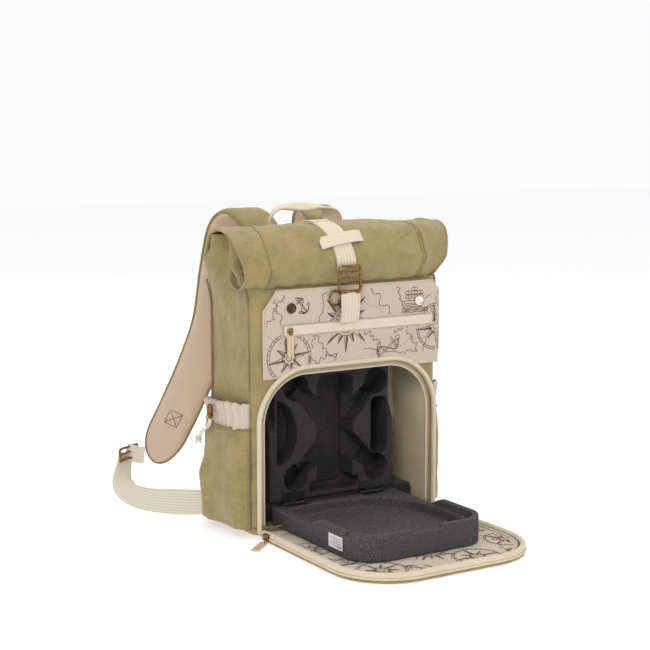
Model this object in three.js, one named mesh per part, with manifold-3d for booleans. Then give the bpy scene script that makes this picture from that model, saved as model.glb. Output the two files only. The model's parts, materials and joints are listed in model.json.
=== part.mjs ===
// Roll-top drone backpack, open at the front, with the hinged foam case for the drone in its compartment.
// Millimetres, +Z up, -Y to the front, origin at the centre of the bag's base.
import * as THREE from "three";
import { mergeVertices } from "three/addons/utils/BufferGeometryUtils.js";
import Module from "manifold-3d";

const wasm = await Module();
wasm.setup();

// Driving dimensions.
const GAP = 0.3; // clearance between pieces that touch
const BAG = { width: 272, depth: 120, height: 300, corner: 14, base: 7.7 };
const FRONT = -BAG.depth / 2; // the bag's front plane
const OPENING = { width: 246, top: 202, corner: 62, wall: 9 };
const COMPARTMENT = { width: 252, back: 24, top: 248, lining: 1.6 };
const PIPING = { width: 7, depth: 4 };
const ROLL = { left: -163, right: 165, y: -30, z: 341, radiusY: 38, radiusZ: 40 };
const PANEL = { left: -124, right: 136, bottom: 198, top: 306, thick: 2.6, chamfer: 24 };
const ZIP = { left: -96, right: 124, z: 256, width: 13, thick: 1.8 };
const DOOR = { width: 262, length: 236, corner: 74, thick: 5.4, lining: 2, rim: 9, rimTop: 13.6 };
const DOOR_AXIS = { y: -66, z: 14 };
const CASE = { width: 186, length: 206, x: -5, hingeY: -30, hingeZ: 30, outset: 4, corner: 38 };
const TRAY = { depth: 50, wall: 8, step: 11 };
const LID = { plateau: 22, rise: 11, floor: 8, wall: 8, rampStart: 84, rampEnd: 116 };
const HINGE = { width: 32, reach: 9, leaf: 2.4, knuckle: 2.6, pin: 1.1 };
const STRAP = { width: 56, thick: 13 };
const WEBBING = { width: 32, thick: 2.4 };
const CLOSURE = { width: 26, thick: 2, x: -8 };
const POCKET = { bulge: 22, bottom: 12, top: 138, depth: 104 };
const CUFF = { top: 170, bulge: 18 };
const CORD = { diameter: 4.5 };

const v3 = (x, y, z) => new THREE.Vector3(x, y, z);

// Materials.
const cloth = (color) => new THREE.MeshStandardMaterial({ color, roughness: 0.9, metalness: 0 });
const metal = (color) => new THREE.MeshStandardMaterial({ color, roughness: 0.35, metalness: 1 });
const materials = {
  canvas: cloth(0x8b8055),
  webbing: cloth(0xdcc6a8),
  lining: cloth(0xcfc0a6),
  binding: cloth(0xdccda2),
  cuff: cloth(0xe6d2c4),
  padding: cloth(0xcdb59b),
  foam: cloth(0x2d2b30),
  hinge: cloth(0x1c1b1e),
  brass: metal(0x9b7a42),
  steel: metal(0xd8d4cc),
  leather: cloth(0xc6a779),
  label: cloth(0xe9e9e6),
};

// A closed geometry with merged vertices as a manifold solid, and back.
function solid(geometry) {
  const g = geometry.clone();
  g.deleteAttribute("normal");
  g.deleteAttribute("uv");
  const merged = mergeVertices(g, 1e-4);
  return new wasm.Manifold(
    new wasm.Mesh({
      numProp: 3,
      vertProperties: new Float32Array(merged.attributes.position.array),
      triVerts: new Uint32Array(merged.index.array),
    }),
  );
}

function geometryOf(manifold) {
  const mesh = manifold.getMesh();
  const g = new THREE.BufferGeometry();
  g.setAttribute("position", new THREE.BufferAttribute(mesh.vertProperties, 3));
  g.setIndex(new THREE.BufferAttribute(mesh.triVerts, 1));
  g.computeVertexNormals();
  return g;
}

const box = (x0, x1, y0, y1, z0, z1) =>
  solid(new THREE.BoxGeometry(x1 - x0, y1 - y0, z1 - z0)
    .translate((x0 + x1) / 2, (y0 + y1) / 2, (z0 + z1) / 2));

function roundedRect(x0, x1, y0, y1, r) {
  const s = new THREE.Shape();
  s.moveTo(x0 + r, y0);
  s.lineTo(x1 - r, y0);
  s.absarc(x1 - r, y0 + r, r, -Math.PI / 2, 0, false);
  s.lineTo(x1, y1 - r);
  s.absarc(x1 - r, y1 - r, r, 0, Math.PI / 2, false);
  s.lineTo(x0 + r, y1);
  s.absarc(x0 + r, y1 - r, r, Math.PI / 2, Math.PI, false);
  s.lineTo(x0, y0 + r);
  s.absarc(x0 + r, y0 + r, r, Math.PI, 1.5 * Math.PI, false);
  return s;
}

// A rectangle whose two far corners are rounded: y0 is the square side.
function archShape(x0, x1, y0, y1, r) {
  const s = new THREE.Shape();
  s.moveTo(x0, y0);
  s.lineTo(x1, y0);
  s.lineTo(x1, y1 - r);
  s.absarc(x1 - r, y1 - r, r, 0, Math.PI / 2, false);
  s.lineTo(x0 + r, y1);
  s.absarc(x0 + r, y1 - r, r, Math.PI / 2, Math.PI, false);
  return s;
}

// Prisms of a flat shape: standing on z0, or set in the XZ plane and reaching from y0 back to y1.
const prism = (shape, z0, z1, segments = 8) =>
  solid(new THREE.ExtrudeGeometry(shape, { depth: z1 - z0, bevelEnabled: false, curveSegments: segments })
    .translate(0, 0, z0));
const frontPrism = (shape, y0, y1, segments = 8) =>
  solid(new THREE.ExtrudeGeometry(shape, { depth: y1 - y0, bevelEnabled: false, curveSegments: segments })
    .rotateX(Math.PI / 2).translate(0, y1, 0));

// A flat band of cloth or webbing along a curve, its width lying along the given directions.
function band(points, widths, width, thick, steps) {
  const path = new THREE.CatmullRomCurve3(points, false, "centripetal");
  const across = new THREE.CatmullRomCurve3(widths, false, "centripetal");
  const position = [];
  const index = [];
  for (let i = 0; i <= steps; i++) {
    const p = path.getPoint(i / steps);
    const along = path.getTangent(i / steps);
    const side = across.getPoint(i / steps);
    side.addScaledVector(along, -side.dot(along)).normalize();
    const up = side.clone().cross(along).normalize();
    for (const [a, b] of [[-1, -1], [1, -1], [1, 1], [-1, 1]]) {
      const q = p.clone().addScaledVector(side, (a * width) / 2).addScaledVector(up, (b * thick) / 2);
      position.push(q.x, q.y, q.z);
    }
  }
  for (let i = 0; i < steps; i++)
    for (let k = 0; k < 4; k++) {
      const a = 4 * i + k;
      const b = 4 * i + ((k + 1) % 4);
      index.push(a, a + 4, b, b, a + 4, b + 4);
    }
  const last = 4 * steps;
  index.push(0, 1, 2, 0, 2, 3, last, last + 2, last + 1, last, last + 3, last + 2);
  const g = new THREE.BufferGeometry();
  g.setAttribute("position", new THREE.Float32BufferAttribute(position, 3));
  g.setIndex(index);
  return g;
}

const group = new THREE.Group();
function add(name, material, shape) {
  const geometry = shape.isBufferGeometry ? shape : geometryOf(shape);
  const mesh = new THREE.Mesh(geometry, material.clone());
  mesh.name = name;
  group.add(mesh);
}
const mirrored = (shape) => shape.scale([-1, 1, 1]);

// ---- Canvas bag ----
function mainShell() {
  const half = BAG.width / 2;
  const outline = roundedRect(-half, half, -BAG.depth / 2, BAG.depth / 2, BAG.corner);
  const opening = archShape(-OPENING.width / 2, OPENING.width / 2, BAG.base, OPENING.top, OPENING.corner);
  const inner = COMPARTMENT.width / 2;
  return prism(outline, 0, BAG.height)
    .subtract(frontPrism(opening, FRONT - 1, FRONT + OPENING.wall + 1))
    .subtract(box(-inner, inner, FRONT + OPENING.wall, COMPARTMENT.back, BAG.base, COMPARTMENT.top));
}

// The beige lining is a thin U against the compartment's sides, top and back.
function compartmentLining() {
  const inner = COMPARTMENT.width / 2 - GAP;
  const t = COMPARTMENT.lining;
  const front = FRONT + OPENING.wall + GAP;
  return box(-inner, inner, front, COMPARTMENT.back - GAP, BAG.base + GAP, COMPARTMENT.top - GAP)
    .subtract(box(-inner + t, inner - t, front - 1, COMPARTMENT.back - GAP - t, 0, COMPARTMENT.top - GAP - t));
}

function openingPiping() {
  const w = OPENING.width / 2;
  const y = FRONT - GAP;
  const outer = archShape(-w - PIPING.width, w + PIPING.width, BAG.base, OPENING.top + PIPING.width,
    OPENING.corner + PIPING.width);
  const inner = archShape(-w, w, 0, OPENING.top, OPENING.corner);
  return frontPrism(outer, y - PIPING.depth, y, 10)
    .subtract(frontPrism(inner, y - PIPING.depth - 1, y + 1, 10));
}

function rollEllipse(growth) {
  const s = new THREE.Shape();
  s.absellipse(0, 0, ROLL.radiusZ + growth, ROLL.radiusY + growth, 0, 2 * Math.PI);
  return s;
}
// The ellipse stands in the YZ plane and is extruded along X.
const rollSolid = (x0, x1, growth) =>
  solid(new THREE.ExtrudeGeometry(rollEllipse(growth), { depth: x1 - x0, bevelEnabled: false, curveSegments: 14 })
    .rotateY(Math.PI / 2).translate(x0, ROLL.y, ROLL.z));

// The collar is the cloth between the body and the roll, higher at the back.
function collar() {
  const s = new THREE.Shape([
    new THREE.Vector2(-54, 0), new THREE.Vector2(58, 0), new THREE.Vector2(58, 60),
    new THREE.Vector2(40, 76), new THREE.Vector2(-30, 78),
  ]);
  const half = BAG.width / 2 - 2;
  const block = solid(new THREE.ExtrudeGeometry(s, { depth: 2 * half, bevelEnabled: false })
    .rotateX(Math.PI / 2).rotateZ(Math.PI / 2).translate(-half, 0, BAG.height + GAP));
  return block.subtract(rollSolid(ROLL.left - 1, ROLL.right + 1, GAP))
    .subtract(box(-half - 1, half + 1, -70, ROLL.y, BAG.height + 5, 400));
}

const backPad = () => frontPrism(roundedRect(-98, 98, 46, 288, 24), BAG.depth / 2 + GAP, BAG.depth / 2 + 9);

// ---- Printed front panel with its zip pocket and two snap buttons ----
function frontPanel() {
  const s = new THREE.Shape();
  s.moveTo(PANEL.left, PANEL.bottom);
  s.lineTo(PANEL.right, PANEL.bottom);
  s.lineTo(PANEL.right, PANEL.top - PANEL.chamfer / 2);
  s.lineTo(PANEL.right - PANEL.chamfer / 2, PANEL.top);
  s.lineTo(PANEL.left + PANEL.chamfer * 0.8, PANEL.top);
  s.lineTo(PANEL.left, PANEL.top - PANEL.chamfer);
  const w = OPENING.width / 2 + PIPING.width + GAP;
  const arch = archShape(-w, w, 0, OPENING.top + PIPING.width + GAP, OPENING.corner + PIPING.width);
  const y = FRONT - GAP;
  return frontPrism(s, y - PANEL.thick, y)
    .subtract(frontPrism(arch, y - PANEL.thick - 1, y + 1, 10))
    .subtract(rollSolid(ROLL.left, ROLL.right, GAP));
}
const PANEL_FACE = FRONT - GAP - PANEL.thick;

function pocketZipper() {
  const y = PANEL_FACE - GAP;
  return box(ZIP.left, ZIP.right, y - ZIP.thick, y, ZIP.z - ZIP.width / 2, ZIP.z + ZIP.width / 2);
}

function pocketZipSlider() {
  const y = PANEL_FACE - 2 * GAP - ZIP.thick;
  return box(ZIP.left + 4, ZIP.left + 12, y - 2.4, y, ZIP.z - 4, ZIP.z + 4);
}

function pocketZipPull() {
  const y = PANEL_FACE - 2 * GAP - ZIP.thick;
  return frontPrism(roundedRect(ZIP.left + 3.5, ZIP.left + 13, ZIP.z - 32, ZIP.z - 4.5, 2), y - 1.6, y);
}

// Snap buttons: a turned cap with a raised ring, lying on the panel.
function snap(x, z) {
  const profile = [[0, 0], [6.5, 0], [6.5, 1.2], [5.4, 2], [3.6, 1.6], [2, 1.6], [1.4, 2.2], [0, 2.2]];
  const cap = new THREE.LatheGeometry(profile.map(([r, h]) => new THREE.Vector2(r, h)), 20);
  return solid(cap.rotateX(Math.PI).translate(x, PANEL_FACE - GAP, z));
}

// ---- Roll-top closure: a webbing strap over the roll, a keeper loop, a hook buckle and its tail ----
function rollPoint(angle, growth) {
  return v3(CLOSURE.x, ROLL.y - Math.cos(angle) * (ROLL.radiusY + growth),
    ROLL.z + Math.sin(angle) * (ROLL.radiusZ + growth));
}
function closureStrapUpper() {
  const points = [];
  const widths = [];
  for (let i = 0; i <= 10; i++) {
    const angle = THREE.MathUtils.degToRad(112 - 128 * (i / 10));
    points.push(rollPoint(angle, GAP + CLOSURE.thick / 2 + 0.8));
    widths.push(v3(1, 0, 0));
  }
  points.forEach((p, i) => { p.x = CLOSURE.x - 24 + (24 * i) / 10; });
  return band(points, widths, CLOSURE.width, CLOSURE.thick, 20);
}
const KEEPER = { left: -44, length: 60, width: 15 };
function strapKeeper() {
  const points = [];
  const widths = [];
  for (let i = 0; i <= 4; i++) {
    const lift = i === 0 || i === 4 ? 1.8 : 5;
    const point = rollPoint(THREE.MathUtils.degToRad(27 + 3 * i), lift);
    point.x = KEEPER.left + (KEEPER.length * i) / 4;
    points.push(point);
    widths.push(v3(0, 0.54, 0.84));
  }
  return band(points, widths, KEEPER.width, 1.6, 12);
}
// A ladder buckle whose lower bar is an open hook.
const BUCKLE = { z: 316, height: 34, width: 34, thick: 3 };
function hookBuckle() {
  const y = PANEL_FACE - 13;
  const w = BUCKLE.width / 2;
  const frame = frontPrism(roundedRect(CLOSURE.x - w, CLOSURE.x + w, BUCKLE.z - 17, BUCKLE.z + 17, 5), y, y + BUCKLE.thick);
  const bar = (z0, z1) => frontPrism(roundedRect(CLOSURE.x - w + 3.5, CLOSURE.x + w - 3.5, z0, z1, 1.5), y - 1,
    y + BUCKLE.thick + 1);
  return frame.subtract(bar(BUCKLE.z + 4, BUCKLE.z + 13)).subtract(bar(BUCKLE.z - 13, BUCKLE.z - 1));
}
function closureStrapLower() {
  const y = PANEL_FACE - GAP - ZIP.thick;
  const top = BUCKLE.z - 19;
  const points = [v3(CLOSURE.x + 4, y - 4, ZIP.z + ZIP.width / 2 + 1), v3(CLOSURE.x + 2, y - 8, (top + ZIP.z) / 2),
    v3(CLOSURE.x, y - 10, top)];
  return band(points, points.map(() => v3(1, 0, 0)), CLOSURE.width, CLOSURE.thick, 8);
}
function strapRing() {
  const ring = new THREE.TorusGeometry(8, 1.5, 6, 20).rotateX(Math.PI / 2);
  return solid(ring.translate(CLOSURE.x - 15, PANEL_FACE - 2.2, 292));
}

// ---- Carry handle ----
function carryHandle() {
  const y = 47;
  const points = [v3(-52, y, 379), v3(-48, y, 388), v3(-28, y, 396), v3(10, y, 396), v3(37, y, 390), v3(44, y, 379)];
  return band(points, points.map(() => v3(0, 1, 0)), 26, 4, 24);
}

// ---- Left shoulder strap; the right one is its mirror image ----
function shoulderStrap() {
  const points = [v3(-50, 66, 352), v3(-52, 84, 380), v3(-55, 114, 388), v3(-62, 142, 366), v3(-68, 154, 310),
    v3(-78, 157, 240), v3(-99, 158, 185), v3(-127, 158, 130), v3(-152, 158, 86), v3(-164, 157, 58)];
  const widths = [v3(1, 0, 0), v3(1, 0, 0), v3(1, 0, 0), v3(0.95, -0.3, 0), v3(0.92, -0.4, 0), v3(0.88, -0.47, 0.06),
    v3(0.82, -0.47, 0.3), v3(0.8, -0.45, 0.38), v3(0.8, -0.45, 0.38), v3(0.8, -0.45, 0.38)];
  return band(points, widths, STRAP.width, STRAP.thick, 34);
}
function strapWebbing() {
  const points = [v3(-195, 174, 46), v3(-207, 165, 33), v3(-208, 149, 23.5), v3(-195, 128, 18.5), v3(-174, 104, 17.6),
    v3(-150, 80, 18.5), v3(-132, 64.5, 20)];
  const widths = points.map((p, i) => (i ? v3(0, 0, 1) : v3(0.2, 0.1, 1)));
  return band(points, widths, WEBBING.width, WEBBING.thick, 30);
}
function strapAdjuster() {
  const plate = prism(roundedRect(-22, 22, -9, 9, 4), 0, 3);
  const slot = (y) => box(-18, 18, y, y + 5, -1, 4);
  return plate.subtract(slot(-6.5)).subtract(slot(1.5)).rotate([90, 0, 30]).translate([-197, 176, 71]);
}

// ---- Side pocket with its gathered cuff, cord lock and drawcord; the right one is a mirror image ----
const SIDE = -BAG.width / 2 - GAP;
const FULLNESS = 1.3; // a curve's control points stand this much further out than its crown
function sidePocket() {
  const h = POCKET.depth / 2;
  const outline = new THREE.Shape();
  outline.moveTo(SIDE, -h);
  outline.bezierCurveTo(SIDE - POCKET.bulge * FULLNESS, -h, SIDE - POCKET.bulge * FULLNESS, h, SIDE, h);
  return prism(outline, POCKET.bottom, POCKET.top, 10);
}
function pocketCuff() {
  const h = POCKET.depth / 2 - 2;
  const outline = new THREE.Shape();
  outline.moveTo(SIDE, -h);
  outline.bezierCurveTo(SIDE - CUFF.bulge * FULLNESS, -h, SIDE - CUFF.bulge * FULLNESS, h, SIDE, h);
  return prism(outline, POCKET.top + GAP, CUFF.top, 10);
}
const LOCK = { x: SIDE - CUFF.bulge - 6.2, y: 8, z: 152, radius: 4 };
const cordLock = () =>
  solid(new THREE.CylinderGeometry(LOCK.radius, LOCK.radius, 18, 14).rotateX(Math.PI / 2)
    .translate(LOCK.x, LOCK.y, LOCK.z));

// The drawcord leaves the cord lock's lower end and trails back over the pocket's side to its knot.
const DRAWCORD = [v3(LOCK.x, 8, 142.6), v3(LOCK.x - 0.3, 8.4, 137.5), v3(LOCK.x - 1.6, 14, 130), v3(LOCK.x - 1.8, 24, 124.5),
  v3(LOCK.x + 0.6, 35, 119), v3(LOCK.x + 3.6, 44.5, 112.5)];
function drawcord() {
  const section = new THREE.Shape();
  section.absarc(0, 0, CORD.diameter / 2, 0, 2 * Math.PI);
  const path = new THREE.CatmullRomCurve3(DRAWCORD);
  return solid(new THREE.ExtrudeGeometry(section, { steps: 12, extrudePath: path, curveSegments: 4, bevelEnabled: false }));
}
const cordKnot = () =>
  solid(new THREE.SphereGeometry(6, 10, 8).translate(LOCK.x + 5.3, 49.7, 108.9));

// ---- Door: the compartment's front, folded down onto the ground ----
function doorOutline(inset) {
  const w = DOOR.width / 2 - inset;
  const outline = archShape(-w, w, 0, DOOR.length - inset, DOOR.corner - inset);
  return outline;
}
// The door's outline is drawn forward of the hinge line and turned to point to the front.
const doorPrism = (inset, z0, z1) =>
  prism(doorOutline(inset), z0, z1, 10).rotate([0, 0, 180]).translate([0, DOOR_AXIS.y, 0]);
const doorPanel = () => doorPrism(0, 0, DOOR.thick);
const doorLining = () => doorPrism(DOOR.rim + GAP, DOOR.thick + GAP, DOOR.thick + GAP + DOOR.lining);
const doorRim = () =>
  doorPrism(0, DOOR.thick + GAP, DOOR.rimTop)
    .subtract(doorPrism(DOOR.rim, 0, 30))
    .subtract(box(-DOOR.width / 2 + DOOR.rim, DOOR.width / 2 - DOOR.rim, DOOR_AXIS.y - 20, 0, -1, 30));
const doorZipPull = () =>
  prism(roundedRect(-34, 0, -5, 5, 2), 1, 3).rotate([0, 0, 42]).translate([-DOOR.width / 2 - 3, DOOR_AXIS.y - 14, 0]);

// ---- Foam drone case. Drawn closed-side up: x across, y from the hinge edge to the front ----
function caseOutline(inset) {
  const w = CASE.width / 2 - inset;
  return archShape(-w, w, inset, CASE.length - inset, CASE.corner - inset);
}
// Places a body drawn with its hinge edge on y = 0 as the lid: lying flat, its hollow side up.
const layLid = (s) => s.rotate([0, 0, 180]).translate([CASE.x, CASE.hingeY - CASE.outset, CASE.hingeZ - LID.plateau]);
// Places one as the tray: standing on its hinge edge, its hollow side to the front.
const standTray = (s) =>
  s.rotate([90, 0, 0]).translate([CASE.x, CASE.hingeY + TRAY.depth, CASE.hingeZ + CASE.outset]);

// A side view, y forward and z up, swept across the case.
function sweptAcross(points, x0, x1) {
  const s = new THREE.Shape(points.map(([y, z]) => new THREE.Vector2(y, z)));
  return solid(new THREE.ExtrudeGeometry(s, { depth: x1 - x0, bevelEnabled: false })
    .rotateX(Math.PI / 2).rotateZ(Math.PI / 2).translate(x0, 0, 0));
}
// The smooth step of the parting line, as points from the hinge edge to the front.
function rampPoints(low, high) {
  const points = [];
  for (let i = 0; i <= 8; i++) {
    const t = i / 8;
    const s = t * t * (3 - 2 * t);
    points.push([LID.rampStart + t * (LID.rampEnd - LID.rampStart), low + s * (high - low)]);
  }
  return points;
}

function caseLid() {
  const half = CASE.width / 2 + 1;
  const high = LID.plateau + LID.rise;
  const above = [...rampPoints(LID.plateau, high), [CASE.length + 1, high], [CASE.length + 1, 60], [-1, 60],
    [-1, LID.plateau]];
  const cavity = new THREE.Shape();
  cavity.moveTo(-70, 50);
  cavity.bezierCurveTo(-52, 24, -30, 12, 0, 11);
  cavity.bezierCurveTo(30, 10, 66, 8, 76, 24);
  cavity.bezierCurveTo(84, 50, 84, 110, 82, 160);
  cavity.absarc(52, CASE.length - 38, 30, 0, Math.PI / 2, false);
  cavity.lineTo(-52, CASE.length - 8);
  cavity.absarc(-52, CASE.length - 38, 30, Math.PI / 2, Math.PI, false);
  cavity.bezierCurveTo(-84, 120, -84, 80, -70, 50);
  const inner = new THREE.Shape();
  const w = CASE.width / 2 - LID.wall;
  inner.moveTo(-w, LID.rampStart - 4);
  inner.lineTo(w, LID.rampStart - 4);
  inner.lineTo(w, CASE.length - CASE.corner);
  inner.absarc(w - 30, CASE.length - CASE.corner, 30, 0, Math.PI / 2, false);
  inner.lineTo(-w + 30, CASE.length - LID.wall);
  inner.absarc(-w + 30, CASE.length - CASE.corner, 30, Math.PI / 2, Math.PI, false);
  const fingerNotch = box(-21, 21, CASE.length - LID.wall - 2, CASE.length + 1, high - 5, 60);
  const sideNotch = box(w - 1, half, 168, 178, high - 8, 60);
  return prism(caseOutline(0), 0, high)
    .subtract(sweptAcross(above, -half, half))
    .subtract(prism(inner, LID.plateau, 60))
    .subtract(prism(cavity, LID.floor, 60, 12))
    .subtract(fingerNotch)
    .subtract(sideNotch);
}

// Tray pockets, on the same axes as the lid and seen from its hollow side: x from the case's middle.
const DRONE = { x: 4, length: 146, width: 53, front: 10, depth: 38 };
const MOTORS = [[-54, 28], [66, 28], [-54, 144], [66, 142]];
function armPocket([x, y]) {
  const reach = 34;
  const towards = new THREE.Vector2(DRONE.x - x, DRONE.front + DRONE.length / 2 - y).normalize().multiplyScalar(reach + 18);
  const angle = Math.atan2(towards.y, towards.x);
  const arm = new THREE.Shape();
  arm.moveTo(0, -9);
  arm.lineTo(reach + 26, -14);
  arm.lineTo(reach + 26, 14);
  arm.lineTo(0, 9);
  return prism(arm, TRAY.depth - 28, 80).rotate([0, 0, (angle * 180) / Math.PI]).translate([x, y, 0]);
}
function caseTray() {
  const half = CASE.width / 2 + 1;
  const low = TRAY.depth - TRAY.step;
  const outside = prism(caseOutline(-1), -1, 80).subtract(prism(caseOutline(LID.wall), -2, 81));
  const step = sweptAcross([...rampPoints(TRAY.depth, low - GAP), [CASE.length + 1, low - GAP],
    [CASE.length + 1, 80], [-1, 80], [-1, TRAY.depth]], -half, half).intersect(outside);
  let tray = prism(caseOutline(0), 0, TRAY.depth).subtract(step);
  const pocket = (shape, depth, segments = 10) => prism(shape, TRAY.depth - depth, 80, segments);
  const d = DRONE;
  tray = tray.subtract(pocket(roundedRect(d.x - d.width / 2, d.x + d.width / 2, d.front, d.front + d.length, 12), d.depth));
  for (const m of MOTORS) {
    const pod = new THREE.Shape();
    pod.absarc(m[0], m[1], 17.5, 0, 2 * Math.PI);
    tray = tray.subtract(pocket(pod, 34)).subtract(armPocket(m));
  }
  const nose = roundedRect(-34, 40, 6, 20, 4);
  const cables = new THREE.Shape();
  cables.moveTo(-82, 46);
  cables.bezierCurveTo(-40, 50, -44, 122, -82, 130);
  const battery = roundedRect(58, 84, 46, 120, 8);
  const charger = roundedRect(-70, 70, 168, 192, 8);
  return tray.subtract(pocket(nose, 26)).subtract(pocket(cables, 30)).subtract(pocket(battery, 38))
    .subtract(pocket(charger, 30));
}

// Hinges: a leaf let into each half, three knuckles on one pin.
const HINGE_X = [-58, 57];
function leaf(x, z0, z1) {
  return prism(roundedRect(x - HINGE.width / 2, x + HINGE.width / 2, GAP, HINGE.reach, 3), z0, z1);
}
const hingeSeat = (x, z0, z1) => box(x - HINGE.width / 2 - GAP, x + HINGE.width / 2 + GAP, -1, HINGE.reach + GAP, z0, z1);
const knuckleAt = (x0, x1, radius) =>
  solid(new THREE.CylinderGeometry(radius, radius, x1 - x0, 16).rotateZ(Math.PI / 2)
    .translate(CASE.x + (x0 + x1) / 2, CASE.hingeY, CASE.hingeZ));
function web(x0, x1, lid) {
  const x = CASE.x;
  const t = HINGE.leaf;
  return lid
    ? box(x + x0, x + x1, CASE.hingeY - CASE.outset - 1, CASE.hingeY, CASE.hingeZ - t - GAP, CASE.hingeZ - GAP)
    : box(x + x0, x + x1, CASE.hingeY + GAP, CASE.hingeY + GAP + t, CASE.hingeZ, CASE.hingeZ + CASE.outset + 1);
}
const third = HINGE.width / 3;
function lidHinge(x) {
  let s = layLid(leaf(-x, LID.plateau - GAP - HINGE.leaf, LID.plateau - GAP));
  for (const i of [-1, 1]) {
    const a = x + i * third - third / 2 + 0.2;
    const b = x + i * third + third / 2 - 0.2;
    s = s.add(knuckleAt(a, b, HINGE.knuckle)).add(web(a, b, true));
  }
  return s.subtract(knuckleAt(x - 30, x + 30, HINGE.pin + 0.05));
}
function trayHinge(x) {
  const a = x - third / 2 + 0.2;
  const b = x + third / 2 - 0.2;
  return standTray(leaf(x, TRAY.depth - GAP - HINGE.leaf, TRAY.depth - GAP))
    .add(knuckleAt(a, b, HINGE.knuckle)).add(web(a, b, false))
    .subtract(knuckleAt(x - 30, x + 30, HINGE.pin + 0.05));
}
const hingePin = (x) => knuckleAt(x - HINGE.width / 2 + 0.5, x + HINGE.width / 2 - 0.5, HINGE.pin);

function seated(shape, seats) {
  return seats.reduce((s, seat) => s.subtract(seat), shape);
}

// The padded floor that the case stands on.
const basePad = () =>
  box(-COMPARTMENT.width / 2 + 4, COMPARTMENT.width / 2 - 4, CASE.hingeY + 4, COMPARTMENT.back - 4,
    BAG.base + GAP, CASE.hingeZ + CASE.outset - GAP);

// ---- Assembly ----
add("main_shell", materials.canvas, mainShell());
add("top_collar", materials.canvas, collar());
add("roll_top", materials.canvas, rollSolid(ROLL.left, ROLL.right, 0));
add("back_pad", materials.padding, backPad());
add("compartment_lining", materials.lining, compartmentLining());
add("opening_piping", materials.binding, openingPiping());
add("base_pad", materials.lining, basePad());
add("front_panel", materials.lining, frontPanel());
add("pocket_zipper", materials.binding, pocketZipper());
add("pocket_zip_slider", materials.brass, pocketZipSlider());
add("pocket_zip_pull", materials.leather, pocketZipPull());
add("snap_left", materials.brass, snap(-85, 283));
add("snap_right", materials.steel, snap(104, 280));
add("closure_strap_upper", materials.webbing, closureStrapUpper());
add("strap_keeper", materials.webbing, strapKeeper());
add("hook_buckle", materials.brass, hookBuckle());
add("closure_strap_lower", materials.webbing, closureStrapLower());
add("strap_ring", materials.brass, strapRing());
add("carry_handle", materials.webbing, carryHandle());
for (const [side, place] of [["left", (s) => s], ["right", mirrored]]) {
  add("shoulder_strap_" + side, materials.padding, place(solid(shoulderStrap())));
  add("strap_webbing_" + side, materials.webbing, place(solid(strapWebbing())));
  add("strap_adjuster_" + side, materials.brass, place(strapAdjuster()));
  add("side_pocket_" + side, materials.canvas, place(sidePocket()));
  add("pocket_cuff_" + side, materials.cuff, place(pocketCuff()));
  add("cord_lock_" + side, materials.brass, place(cordLock()));
  add("drawcord_" + side, materials.cuff, place(drawcord()));
  add("cord_knot_" + side, materials.cuff, place(cordKnot()));
}
add("door_panel", materials.canvas, doorPanel());
add("door_lining", materials.lining, doorLining());
add("door_rim", materials.binding, doorRim());
add("door_zip_pull", materials.leather, doorZipPull());
const knuckleRoom = HINGE_X.map((x) => knuckleAt(x - HINGE.width / 2 - GAP, x + HINGE.width / 2 + GAP, HINGE.knuckle + 0.5));
add("case_tray", materials.foam, seated(standTray(seated(caseTray(),
  HINGE_X.map((x) => hingeSeat(x, TRAY.depth - 2 * GAP - HINGE.leaf, 80)))), knuckleRoom));
add("case_lid", materials.foam, seated(layLid(seated(caseLid(),
  HINGE_X.map((x) => hingeSeat(-x, LID.plateau - 2 * GAP - HINGE.leaf, 80)))), knuckleRoom));
HINGE_X.forEach((x, i) => {
  const side = i ? "right" : "left";
  add("tray_hinge_" + side, materials.hinge, trayHinge(x));
  add("lid_hinge_" + side, materials.hinge, lidHinge(x));
  add("hinge_pin_" + side, materials.steel, hingePin(x));
});
const labelY = CASE.hingeY - CASE.outset - 152;
const labelX = CASE.x - CASE.width / 2 - GAP;
add("case_label", materials.label, box(labelX - 0.5, labelX, labelY - 15, labelY + 15, 16, 32));

export default group;
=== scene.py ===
"""Looks of the roll-top drone backpack with its hinged foam case, in metres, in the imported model's frame."""

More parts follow.
